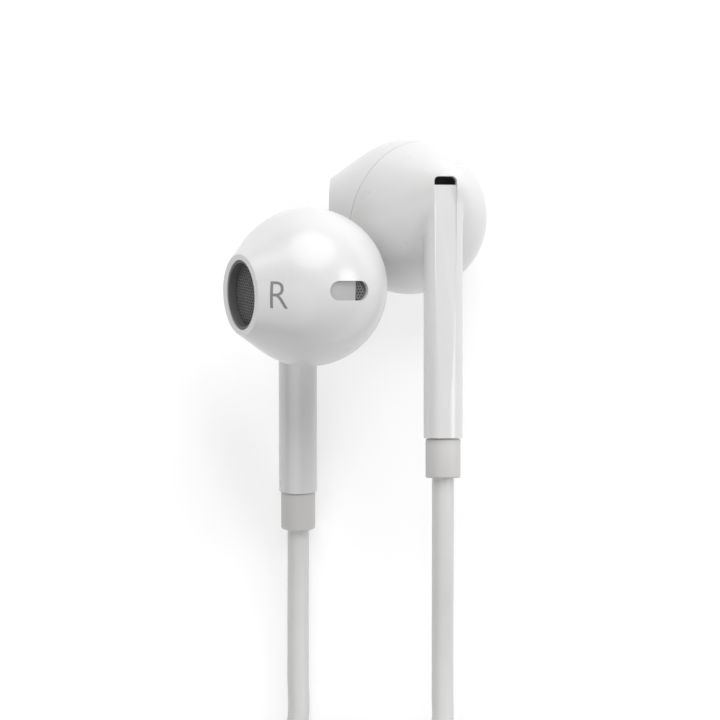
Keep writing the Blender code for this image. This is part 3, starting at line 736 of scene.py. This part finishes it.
def to_slot():
    """The frame of the side slot: X along it, Z straight out of the head."""
    turn = Matrix.Rotation(SLOT_TURN, 4, "Z") @ Matrix.Rotation(-SLOT_RISE, 4, "Y")
    upright = Matrix(((0, 0, 1, 0), (1, 0, 0, 0), (0, 1, 0, 0), (0, 0, 0, 1)))
    return turn @ upright @ Matrix.Rotation(SLOT_TILT, 4, "Z")


def slot_prism(length, height, low, high):
    return moved(stadium(length, height, low, high), to_slot())


def groove_block(near, far, wide, low, high, taper, round_by):
    """A block on the stem's outer side with a rounded top; taper lifts its foot outwards."""
    bm = block((far - near, wide, high - low), ((near + far) / 2, 0, (low + high) / 2))
    for vert in bm.verts:
        if vert.co.z < (low + high) / 2:
            vert.co.x += taper
    ends = [
        edge for edge in bm.edges
        if all(vert.co.z > high - 1e-5 for vert in edge.verts)
        and abs(edge.verts[0].co.y - edge.verts[1].co.y) < 1e-6
    ]
    round_edges(bm, ends, BASS_CORNER, 8)
    if round_by:
        inner = [
            edge for edge in bm.edges
            if all(vert.co.x < far - 1 * MM for vert in edge.verts)
            and edge.calc_face_angle() > math.radians(60)
        ]
        round_edges(bm, inner, round_by, 5)
    return moved(bm, Matrix.Translation(STEM_AT) @ Matrix.Rotation(GROOVE_TURN, 4, "Z"))


def cut_openings(skin):
    """Cuts out the hollow, mouth, side slot, bore, groove and bass slot."""
    carve(skin, raw("hollow", ball(HEAD_R - WALL)))
    carve(skin, raw("mouth", mouth_plug(0, 2 * MOUTH_REACH, NOZZLE_LIP)))
    carve(skin, raw("slot", slot_prism(SLOT_LONG, SLOT_HIGH, HEAD_R - 3 * WALL, 2 * HEAD_R)))
    bore = moved(cylinder(BORE_R, STEM_FOOT - 1 * MM, STEM_TOP), Matrix.Translation(STEM_AT))
    carve(skin, raw("bore", bore))
    duct_end = STEM_AT + Vector((0, 0, BASS_FOOT))
    duct = moved(cylinder(BORE_R, 0, duct_end.length + BORE_R / 3), along(duct_end))
    carve(skin, raw("duct", duct))
    floor = STEM_R - GROOVE_DEEP
    groove = groove_block(floor, 3 * STEM_R, GROOVE_WIDE, GROOVE_FOOT, BASS_TOP, GROOVE_DEEP, GROOVE_ROUND)
    carve(skin, raw("groove", groove))
    bass = groove_block(0, 3 * STEM_R, BASS_WIDE, BASS_FOOT, BASS_TOP - 0.05 * MM, 0, BASS_ROUND)
    carve(skin, raw("bass", bass))


cut_openings(SKIN)
print("hollow skin faces", len(SKIN.data.polygons))

# %% [markdown]
# ## Front and rear shells
# The real head is moulded in two shells that snap together, and a hairline shows where they meet. A
# painted line would vanish in a close view, so the skin is really parted: each shell keeps what lies on
# its own side of a tilted plane, and a few hundredths of a millimetre are left between them.

# %% Front and rear shells
SEAM = 0.06 * MM
SEAM_TURN = math.radians(-45)
SEAM_RISE = math.radians(15)
SEAM_AXIS = Matrix.Rotation(SEAM_TURN, 3, "Z") @ Matrix.Rotation(-SEAM_RISE, 3, "Y") @ Vector((1, 0, 0))


def half_space(side):
    """A large block on one side of the seam, half a seam away from it."""
    far = 90 * MM
    return moved(block((far, far, far), (0, 0, far / 2 + SEAM / 2)), along(SEAM_AXIS * side))


def shell_halves(skin):
    front = copy_of(skin)
    carve(front, raw("front_half", half_space(1)), "INTERSECT")
    carve(skin, raw("rear_half", half_space(-1)), "INTERSECT")
    return front, skin


FRONT, REAR = shell_halves(SKIN)
print("front", len(FRONT.data.polygons), "rear", len(REAR.data.polygons))

# %% [markdown]
# ## Nozzle rim and perforated sheets
# A thin rim holds a dark perforated sheet a little way down the nozzle, with black cloth behind it. Dots
# in a material would look flat from the side, so the holes are real: a sheet of hexagons is inset, its
# middles are deleted, and the land that is left is made thick and trimmed to the oval.

# %% Nozzle rim
FIT = 0.02 * MM
RIM_SET_BACK = 0.12 * MM


def oval_washer(low, high, shrink, wall):
    """A ring of the nozzle's oval along Z with softened ends."""
    tall = MOUTH_TALL / 2 - shrink
    wide = MOUTH_WIDE / 2 - shrink
    bm = soften(turned([(tall - wall, high), (tall - wall, low), (tall, low), (tall, high)]), 0.06 * MM)
    inner = wall * (1 - wide / tall)
    bmesh.ops.scale(bm, vec=((wide + inner / 2) / tall, 1, 1), verts=bm.verts)
    bmesh.ops.translate(bm, vec=(0, -MOUTH_DROP, 0), verts=bm.verts)
    return bm


RIM_RING = raw("rim_ring", moved(
    oval_washer(MOUTH_REACH - RING_DEEP, MOUTH_REACH - RIM_SET_BACK, NOZZLE_LIP + FIT, RING_WALL),
    along((1, 0, 0)),
))
print("rim faces", len(RIM_RING.data.polygons))

# %% Perforated sheets
PITCH = 0.36 * MM
SHEET_THICK = 0.12 * MM
MESH_FACE = MOUTH_REACH - MESH_SET_BACK
MESH_INSET = NOZZLE_LIP + GAP + RING_WALL + FIT


def hex_sheet(columns, rows, hole):
    """A sheet of hexagons, each with a hole: insets leave the land and the middles are deleted."""
    bm = bmesh.new()
    radius = PITCH / math.sqrt(3)
    for column in range(-columns, columns + 1):
        for row in range(-rows, rows + 1):
            x = (row + (column % 2) / 2) * PITCH
            y = column * radius * 1.5
            bmesh.ops.create_circle(
                bm, cap_ends=True, segments=6, radius=radius,
                matrix=Matrix.Translation((x, y, 0)) @ Matrix.Rotation(math.radians(30), 4, "Z"),
            )
    bmesh.ops.remove_doubles(bm, verts=bm.verts, dist=PITCH / 50)
    cells = list(bm.faces)
    bmesh.ops.inset_individual(bm, faces=cells, thickness=(PITCH - hole) / 2, use_even_offset=True)
    bmesh.ops.delete(bm, geom=cells, context="FACES_ONLY")
    made = bmesh.ops.extrude_face_region(bm, geom=list(bm.faces))["geom"]
    raised = [item for item in made if isinstance(item, bmesh.types.BMVert)]
    bmesh.ops.translate(bm, vec=(0, 0, SHEET_THICK), verts=raised)
    return bm


def mouth_grille():
    """A fine perforated sheet, trimmed to the nozzle's oval."""
    place = along((1, 0, 0), (MESH_FACE - SHEET_THICK, 0, -MOUTH_DROP))
    sheet = raw("sheet", moved(hex_sheet(15, 12, 0.25 * MM), place))
    carve(sheet, raw("trim", mouth_plug(MESH_FACE - 1 * MM, MESH_FACE + 1 * MM, MESH_INSET)), "INTERSECT")
    return sheet


def mouth_cloth():
    """The black cloth just behind the perforated sheet."""
    face = MESH_FACE - 0.25 * MM
    return raw("cloth", mouth_plug(face - 0.1 * MM, face, MESH_INSET))


MOUTH_GRILLE = mouth_grille()
MOUTH_CLOTH = mouth_cloth()
print("mouth sheet faces", len(MOUTH_GRILLE.data.polygons))

# %% [markdown]
# ## Inside the side slot
# A pale vane fills most of the side slot and leaves one end open, where a dark mesh shows. The vane is a
# softened plate, and the mesh is a smaller sheet of the same hexagons, trimmed by the slot's own prism.
# The bass slot only needs a dark plate in its depth.

# %% Side slot and bass slot
VANE_SIZE = (3.5 * MM, SLOT_HIGH + 0.2 * MM, 0.16 * MM)
VANE_SHIFT = 0.75 * MM


def slot_vane():
    """A pale vane inside the side slot that leaves its far end open."""
    bm = block(VANE_SIZE, (VANE_SHIFT, 0, HEAD_R - WALL + 0.3 * MM))
    return raw("vane", moved(soften(bm, 0.06 * MM, 60, 2), to_slot()))


def side_grille():
    """A small perforated sheet, trimmed to the side slot."""
    seat = HEAD_R - WALL + GAP
    place = to_slot() @ Matrix.Translation((0, 0, seat))
    sheet = raw("side_sheet", moved(hex_sheet(4, 8, 0.22 * MM), place))
    trim = slot_prism(SLOT_LONG - 0.1 * MM, SLOT_HIGH - 0.1 * MM, seat - 1 * MM, seat + 1 * MM)
    carve(sheet, raw("side_trim", trim), "INTERSECT")
    return sheet


VANE_PLATE = slot_vane()
SIDE_GRILLE = side_grille()
BASS_GRILLE = raw("bass_grille", groove_block(
    0.42 * MM, 0.62 * MM, BASS_WIDE, BASS_FOOT, BASS_TOP - 0.05 * MM, 0, 0
))
print("side sheet faces", len(SIDE_GRILLE.data.polygons))

# %% [markdown]
# ## Soft sleeve
# A rubber sleeve ends the stem and lets the cord bend without breaking. It is turned, with a spigot that
# sits in the stem's bore, and its rims are rounded because moulded rubber never has a sharp edge.

# %% Soft sleeve
SPIGOT_LONG = 3 * MM


def sleeve():
    """The soft sleeve under a stem, with a rounded foot and a spigot in the bore."""
    top = STEM_FOOT - 0.06 * MM
    bm = turned([
        (0, STEM_FOOT + SPIGOT_LONG), (BORE_R - GAP, STEM_FOOT + SPIGOT_LONG), (BORE_R - GAP, top),
        (SLEEVE_R, top), (SLEEVE_R, SLEEVE_FOOT), (0, SLEEVE_FOOT),
    ])
    soften(bm, 0.18 * MM, 60, 4)
    return raw("sleeve", moved(bm, Matrix.Translation(STEM_AT)))


SLEEVE = sleeve()
print("sleeve faces", len(SLEEVE.data.polygons))

# %% [markdown]
# ## Laying the buds down
# Turning objects in the scene would leave each piece with its own rotation. Instead every bud has a frame,
# a matrix that is applied to its meshes. The left bud lies on its ear-side dome, and the right head leans
# on the left one, so its height follows from the distance between the two centres.

# %% Bud frames
LEFT_AT = (5.69 * MM, 13.05 * MM)
RIGHT_AT = (-5.38 * MM, 3.99 * MM)
HEAD_GAP = 0.3 * MM
MIRROR = Matrix.Diagonal((1, -1, 1, 1))


def lay_frame(place, height, rise, lift):
    """A bud's frame: its stem runs along -Y and dips by rise, its nozzle faces -X and lifts by lift."""
    up = Vector((0, math.cos(rise), math.sin(rise)))
    face = Vector((0, -math.sin(rise), math.cos(rise)))
    nozzle = Vector((-math.cos(lift), 0, 0)) + face * math.sin(lift)
    turn = Matrix((nozzle, up.cross(nozzle), up)).transposed().to_4x4()
    return Matrix.Translation((*place, height)) @ turn


RIGHT_HEIGHT = HEAD_R + math.sqrt((2 * HEAD_R + HEAD_GAP) ** 2 - math.dist(LEFT_AT, RIGHT_AT) ** 2)
LEFT_FRAME = lay_frame(LEFT_AT, HEAD_R, math.radians(6), math.radians(-4))
RIGHT_FRAME = lay_frame(RIGHT_AT, RIGHT_HEIGHT, math.radians(16.2), math.radians(35)) @ MIRROR
print("right head at", round(RIGHT_HEIGHT / MM, 2), "mm")

# %% [markdown]
# ## Channel letters
# A letter is printed on each front shell beside the nozzle. Ink has no thickness to speak of, and a text
# object is flat while the dome is round. So a thick letter keeps only what it shares with a copy of the
# shell that is grown by a hair: most of it sits inside the shell, and its face stands just proud.

# %% Channel letters
MARK_TALL = 2.85 * MM
MARK_TURN = math.radians(-35)
MARK_RISE = math.radians(3)
MARK_NARROW = 0.88
INK_GROWTH = 1.0018


def thick_letter(letter):
    """A thick letter of the mark's height about the origin, facing +Z."""
    text = bpy.data.curves.new("letter", "FONT")
    text.body = letter
    text.extrude = 0.5
    text.offset = -0.009
    text.resolution_u = 8
    glyph = bpy.data.objects.new("letter", text)
    bpy.context.scene.collection.objects.link(glyph)
    graph = bpy.context.evaluated_depsgraph_get()
    mesh = bpy.data.meshes.new_from_object(glyph.evaluated_get(graph))
    bpy.data.objects.remove(glyph)
    bm = bmesh.new()
    bm.from_mesh(mesh)
    lows = Vector(min(vert.co[axis] for vert in bm.verts) for axis in range(3))
    highs = Vector(max(vert.co[axis] for vert in bm.verts) for axis in range(3))
    bmesh.ops.translate(bm, vec=(lows + highs) / -2, verts=bm.verts)
    tall = MARK_TALL / (highs.y - lows.y)
    bmesh.ops.scale(bm, vec=(MARK_NARROW * tall, tall, 4 * MM), verts=bm.verts)
    return bm


def mark_frame(frame_of_bud):
    """A frame on the dome's surface: Z straight out, Y along the bud's own height."""
    turn = frame_of_bud.to_3x3()
    level = math.cos(MARK_RISE)
    aim = Vector((math.cos(MARK_TURN) * level, math.sin(MARK_TURN) * level, math.sin(MARK_RISE)))
    out = turn @ aim
    along_line = (turn @ Vector((0, 0, 1))).cross(out).normalized()
    axes = Matrix((along_line, out.cross(along_line), out)).transposed().to_4x4()
    return Matrix.Translation(frame_of_bud.translation + out * HEAD_R) @ axes


def channel_mark(side, letter, frame_of_bud):
    """A letter that sits on the front shell like ink."""
    mark = raw("mark", moved(thick_letter(letter), mark_frame(frame_of_bud)))
    grown = copy_of(FRONT)
    grown.data.transform(frame_of_bud @ Matrix.Scale(INK_GROWTH, 4))
    if frame_of_bud.determinant() < 0:
        grown.data.flip_normals()
    carve(mark, grown, "INTERSECT", "EXACT")
    print("mark", letter, len(mark.data.polygons))
    piece(mark, f"{side}_channel_mark", PRINT)


channel_mark("left", "L", LEFT_FRAME)
channel_mark("right", "R", RIGHT_FRAME)

# %% [markdown]
# ## Both buds
# Everything of a bud exists once, in its own frame. It is copied, laid down and handed over for each
# side, with the normals turned back on the mirrored copy.

# %% Both buds
BUD_PIECES = (
    (FRONT, "front_shell", GLOSS, "gloss_shell", 30),
    (REAR, "rear_shell", GLOSS, "gloss_shell", 30),
    (RIM_RING, "mouth_ring", RIM, "mouth_rim", 50),
    (MOUTH_GRILLE, "mouth_mesh", GRILLE, "dark_mesh", 35),
    (MOUTH_CLOTH, "mouth_cloth", CLOTH, "dark_mesh", 35),
    (SIDE_GRILLE, "side_mesh", GRILLE, "dark_mesh", 35),
    (VANE_PLATE, "slot_vane", VANE, "mouth_rim", 35),
    (BASS_GRILLE, "bass_mesh", CLOTH, "dark_mesh", 35),
    (SLEEVE, "strain_relief", SATIN, "satin_rubber", 40),
)


def lay_bud(side, frame_of_bud):
    for source, part, finish, slot, sharp in BUD_PIECES:
        made = copy_of(source)
        made.data.transform(frame_of_bud)
        if frame_of_bud.determinant() < 0:
            made.data.flip_normals()
        node = f"{side}_{part}"
        piece(made, f"{node}_fine", finish, [node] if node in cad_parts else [], sharp=sharp)


lay_bud("left", LEFT_FRAME)
lay_bud("right", RIGHT_FRAME)
for source, *_ in BUD_PIECES:
    bpy.data.objects.remove(source)
print("bud pieces", 2 * len(BUD_PIECES))

# %% [markdown]
# ## Small mouldings
# The remote and the Y split are boxes of the same make: a pill with rounded edges, hollowed out and
# parted at its seam. One function makes both. A solid pill with a painted seam would look the same from
# afar, but two thin shells show a true gap and leave room for what is inside.

# %% Two-shell mouldings
SHELL_WALL = 0.7 * MM
SHELL_GAP = 0.08 * MM
COIL_TOP = 12.6 * MM
COIL_FOOT = 0.8 * MM
REST_GAP = 0.3 * MM


def two_shells(size, split, edge):
    """A hollow pill parted at a height: its lower and its upper shell, still to be carved."""
    long, wide, high = size
    lower = raw("pill", soften(stadium(long, wide, 0, high), edge, 40, 8))
    pocket = stadium(long - 4 * SHELL_WALL, wide - 2 * SHELL_WALL, SHELL_WALL, high - SHELL_WALL)
    carve(lower, raw("pocket", pocket))
    upper = copy_of(lower)
    far = 2 * long
    carve(lower, raw("under", block((far, far, far), (0, 0, split - far / 2))), "INTERSECT")
    carve(upper, raw("over", block((far, far, far), (0, 0, split + SHELL_GAP + far / 2))), "INTERSECT")
    return lower, upper


print("shell wall", SHELL_WALL / MM, "mm")

# %% [markdown]
# ## Remote
# Three keys stand a little proud in holes of the upper shell, with a small microphone hole beside them.
# The keys move, so each is a piece of its own on its own body and its hole is wider by a small gap all
# round. The middle key has a dimple to find it by touch, cut with a large ball, and the outer ones have
# a sunk minus and plus.

# %% Remote
REMOTE_PLACE = Matrix.Translation((19.3 * MM, -67.0 * MM, 0)) @ Matrix.Rotation(math.radians(90), 4, "Z")
REMOTE_LONG = 30.0 * MM
REMOTE_WIDE = 6.0 * MM
REMOTE_HIGH = 4.2 * MM
REMOTE_SPLIT = 1.9 * MM
KEY_BODIES = ("key_volume_down", "key_centre", "key_volume_up")
KEY_LONG = 5.4 * MM
KEY_WIDE = 3.2 * MM
KEY_PITCH = KEY_LONG + 0.6 * MM
KEY_GAP = 0.12 * MM
KEY_FOOT = 3.0 * MM
KEY_TOP = REMOTE_HIGH + 0.45 * MM
SIGN_LONG = 1.5 * MM
SIGN_WIDE = 0.28 * MM
SIGN_CUT = 0.2 * MM
DIMPLE_R = 3 * MM
DIMPLE_DEEP = 0.15 * MM
MIC_AT = KEY_PITCH + KEY_LONG / 2 + 1.6 * MM
MIC_HOLE_R = 0.35 * MM


def key_cap(body):
    """One key, with the dimple or the sign of its place."""
    key = raw("key", soften(stadium(KEY_LONG, KEY_WIDE, KEY_FOOT, KEY_TOP), 0.25 * MM, 40, 5))
    if body == "key_centre":
        carve(key, raw("dimple", ball(DIMPLE_R, (0, 0, KEY_TOP + DIMPLE_R - DIMPLE_DEEP))))
    else:
        carve(key, raw("bar", block((SIGN_LONG, SIGN_WIDE, SIGN_CUT), (0, 0, KEY_TOP))))
    if body == "key_volume_up":
        carve(key, raw("bar", block((SIGN_WIDE, SIGN_LONG, SIGN_CUT), (0, 0, KEY_TOP))))
    return key


def lay_remote():
    lower, upper = two_shells((REMOTE_LONG, REMOTE_WIDE, REMOTE_HIGH), REMOTE_SPLIT, 0.9 * MM)
    for index, body in enumerate(KEY_BODIES):
        shift = Matrix.Translation(((index - 1) * KEY_PITCH, 0, 0))
        hole = stadium(KEY_LONG + 2 * KEY_GAP, KEY_WIDE + 2 * KEY_GAP, REMOTE_SPLIT, 2 * REMOTE_HIGH)
        carve(upper, raw("key_hole", moved(hole, shift)))
        key = key_cap(body)
        key.data.transform(REMOTE_PLACE @ shift)
        piece(key, f"{body}_fine", SATIN, [body], body)
    mic_hole = cylinder(MIC_HOLE_R, REMOTE_SPLIT, 2 * REMOTE_HIGH, 32)
    carve(upper, raw("mic_hole", moved(mic_hole, Matrix.Translation((MIC_AT, 0, 0)))))
    for shell, part in ((lower, "remote_back_shell"), (upper, "remote_front_shell")):
        shell.data.transform(REMOTE_PLACE)
        piece(shell, f"{part}_fine", GLOSS, [part])


lay_remote()
print("remote", REMOTE_LONG / MM, "mm long with", len(KEY_BODIES), "keys")

# %% [markdown]
# ## Y split
# Where the two bud cords join the main cord, a small moulding holds them together. It lies on top of the
# coil, so its place is found by an angle round the coil and a distance from its centre.

# %% Y split
SPLIT_TURN = math.radians(226)
SPLIT_REACH = 12.2 * MM
SPLIT_LONG = 13.0 * MM
SPLIT_WIDE = 6.4 * MM
SPLIT_HIGH = 3.8 * MM


def lay_split():
    heading = SPLIT_TURN + math.radians(90)
    foot = (
        COIL_AT.x + SPLIT_REACH * math.cos(SPLIT_TURN),
        COIL_AT.y + SPLIT_REACH * math.sin(SPLIT_TURN),
        COIL_TOP + REST_GAP,
    )
    place = Matrix.Translation(foot) @ Matrix.Rotation(heading, 4, "Z")
    lower, upper = two_shells((SPLIT_LONG, SPLIT_WIDE, SPLIT_HIGH), SPLIT_HIGH / 2, 1.1 * MM)
    for shell, part in ((lower, "split_lower_shell"), (upper, "split_upper_shell")):
        shell.data.transform(place)
        piece(shell, f"{part}_fine", GLOSS, [part])


lay_split()
print("split", SPLIT_LONG / MM, "mm long")

# %% [markdown]
# ## Plug
# Everything on the plug is round, so everything is turned: a smooth sheath, a soft relief whose rings let
# it bend, and a jack made of a tip with a long core, two rings and a sleeve with thin black insulators
# between them. Each band stops a hair short of the next, so that no two pieces share a face.

# %% Plug
PLUG_R = 2.9 * MM
PLUG_LONG = 14.0 * MM
RELIEF_LONG = 7.0 * MM
RELIEF_TOP_R = 2.35 * MM
RELIEF_TAPER = 0.7 * MM
RELIEF_SPIGOT = 4 * MM
RELIEF_RINGS = 6
JACK_R = 1.75 * MM
JACK_CORE_R = 0.9 * MM
JACK_LONG = 14.0 * MM
JACK_ROOT = 6.0 * MM
TIP_LONG = 4.2 * MM
JACK_BANDS = (
    ("plug_insulator_1", 0.7 * MM, False),
    ("plug_ring_1", 1.8 * MM, True),
    ("plug_insulator_2", 0.7 * MM, False),
    ("plug_ring_2", 1.8 * MM, True),
    ("plug_insulator_3", 0.7 * MM, False),
    ("plug_sleeve", 0, True),
)


def relief_outline():
    """The relief's outline from its spigot to its foot, with rings that let it bend."""
    top = -0.08 * MM
    points = [(0, RELIEF_SPIGOT), (JACK_R, RELIEF_SPIGOT), (JACK_R, top), (RELIEF_TOP_R, top)]
    for ring in range(RELIEF_RINGS):
        share = (ring + 1) / (RELIEF_RINGS + 1)
        radius = RELIEF_TOP_R - RELIEF_TAPER * share
        z = -RELIEF_LONG * share
        for out, step in ((0, 0.28), (-0.3, 0.2), (-0.3, -0.2), (0, -0.28)):
            points.append((radius + out * MM, z + step * MM))
    return points + [(1.64 * MM, -RELIEF_LONG), (0, -RELIEF_LONG)]


def tip_outline(nose, tip_foot, root):
    """The tip's outline from its nose over the shoulder and the waist to its foot, then its core."""
    return [
        (0, nose), (0.55 * MM, nose - 0.03 * MM), (1.0 * MM, nose - 0.2 * MM), (1.45 * MM, nose - 0.8 * MM),
        (1.7 * MM, nose - 1.35 * MM), (JACK_R, nose - 1.6 * MM), (1.7 * MM, nose - 1.85 * MM),
        (1.3 * MM, nose - 2.5 * MM), (1.12 * MM, nose - 2.9 * MM), (1.2 * MM, nose - 3.2 * MM),
        (JACK_R, tip_foot + 0.25 * MM), (JACK_R, tip_foot), (JACK_CORE_R, tip_foot),
        (JACK_CORE_R, root), (0, root),
    ]


def lay_turned(bm, place, part, finish, slot):
    """Lays a turned piece in place of the CAD node of its name."""
    piece(raw(part, moved(bm, place)), f"{part}_fine", finish, [part])


def lay_jack(place):
    nose = PLUG_LONG + JACK_LONG
    root = PLUG_LONG - JACK_ROOT
    tip_foot = nose - TIP_LONG
    lay_turned(turned(tip_outline(nose, tip_foot, root)), place, "plug_tip", BRIGHT, "contact")
    top = tip_foot - GAP / 2
    hole = JACK_CORE_R + GAP / 2
    for index, (part, length, bright) in enumerate(JACK_BANDS):
        foot = root if index == len(JACK_BANDS) - 1 else top - length
        radius = JACK_R if bright else JACK_R - 0.02 * MM
        band = turned([(hole, top), (hole, foot), (radius, foot), (radius, top)])
        finish = (BRIGHT, "contact") if bright else (BLACK, "insulator")
        lay_turned(band, place, part, *finish)
        top = foot - GAP / 2


def lay_plug():
    place = along((-1, 0, 0), (COIL_AT.x + 9.0 * MM, COIL_AT.y + 9.4 * MM, COIL_TOP + REST_GAP + PLUG_R))
    bore = JACK_R + GAP
    sheath = turned([(bore, PLUG_LONG), (bore, 0), (PLUG_R, 0), (PLUG_R, PLUG_LONG)])
    lay_turned(soften(sheath, 0.5 * MM, 60, 6), place, "plug_sheath", GLOSS, "gloss_shell")
    relief = soften(turned(relief_outline()), 0.07 * MM, 50, 2)
    lay_turned(relief, place, "plug_strain_relief", SATIN, "satin_rubber")
    lay_jack(place)


lay_plug()
print("plug", (PLUG_LONG + JACK_LONG) / MM, "mm long with", len(JACK_BANDS) + 1, "pieces on its jack")

# %% [markdown]
# ## Tie
# A woven band keeps the coil together. Draped cloth would be the other way, but a tie pulled round a
# bundle is nearly a box with rounded corners, so a softened block with a softened opening is enough.

# %% Tie
COIL_INNER_R = 8.7 * MM
COIL_OUTER_R = 16.4 * MM
TIE_ROOM = 1.1 * MM
TIE_WIDE = 6 * MM
TIE_THICK = 0.4 * MM


def lay_tie():
    """A flat woven band around the bundle, with rounded corners."""
    inner = COIL_INNER_R - TIE_ROOM
    outer = COIL_OUTER_R + REST_GAP
    centre = ((inner + outer) / 2, 0, (COIL_FOOT + COIL_TOP) / 2)
    reach = outer - inner
    rise = COIL_TOP - COIL_FOOT + 2 * REST_GAP
    place = Matrix.Translation(COIL_AT) @ Matrix.Rotation(math.radians(-40), 4, "Z")
    outside = block((reach + 2 * TIE_THICK, TIE_WIDE, rise + 2 * TIE_THICK), centre)
    band = raw("band", soften(outside, 0.38 * MM, 60, 5))
    carve(band, raw("room", soften(block((reach, 2 * TIE_WIDE, rise), centre), 0.3 * MM, 60, 4)))
    band.data.transform(place)
    piece(band, "cord_tie_fine", TIE, ["cord_tie"])


lay_tie()
print("tie", TIE_WIDE / MM, "mm wide")

# %% [markdown]
# ## Finishes for the pieces kept from the CAD model
# Inside the buds, the remote and the split the CAD pieces are good enough as they are, because they are
# only seen when a shell is taken off. They keep their meshes and change material.

# %% Kept pieces
KEPT = {
    "driver_frame": STEEL, "magnet": STEEL, "top_plate": STEEL, "cord_crimp": STEEL,
    "voice_coil": COPPER, "inner_lead": COPPER, "diaphragm": FILM, "terminal_board": CARD,
    "remote_board": CARD, "switch_strip": STEEL, "microphone": STEEL, "split_crimp": STEEL,
}


def dress_kept():
    """Gives every node that still shows the finish of its kind, and counts them."""
    dressed = 0
    for name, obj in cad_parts.items():
        finish = KEPT.get(name) or KEPT.get(name.split("_", 1)[-1])
        if finish and not obj.hide_render:
            obj.data.materials.clear()
            obj.data.materials.append(finish)
            dressed += 1
    return dressed


print("kept pieces dressed", dress_kept())
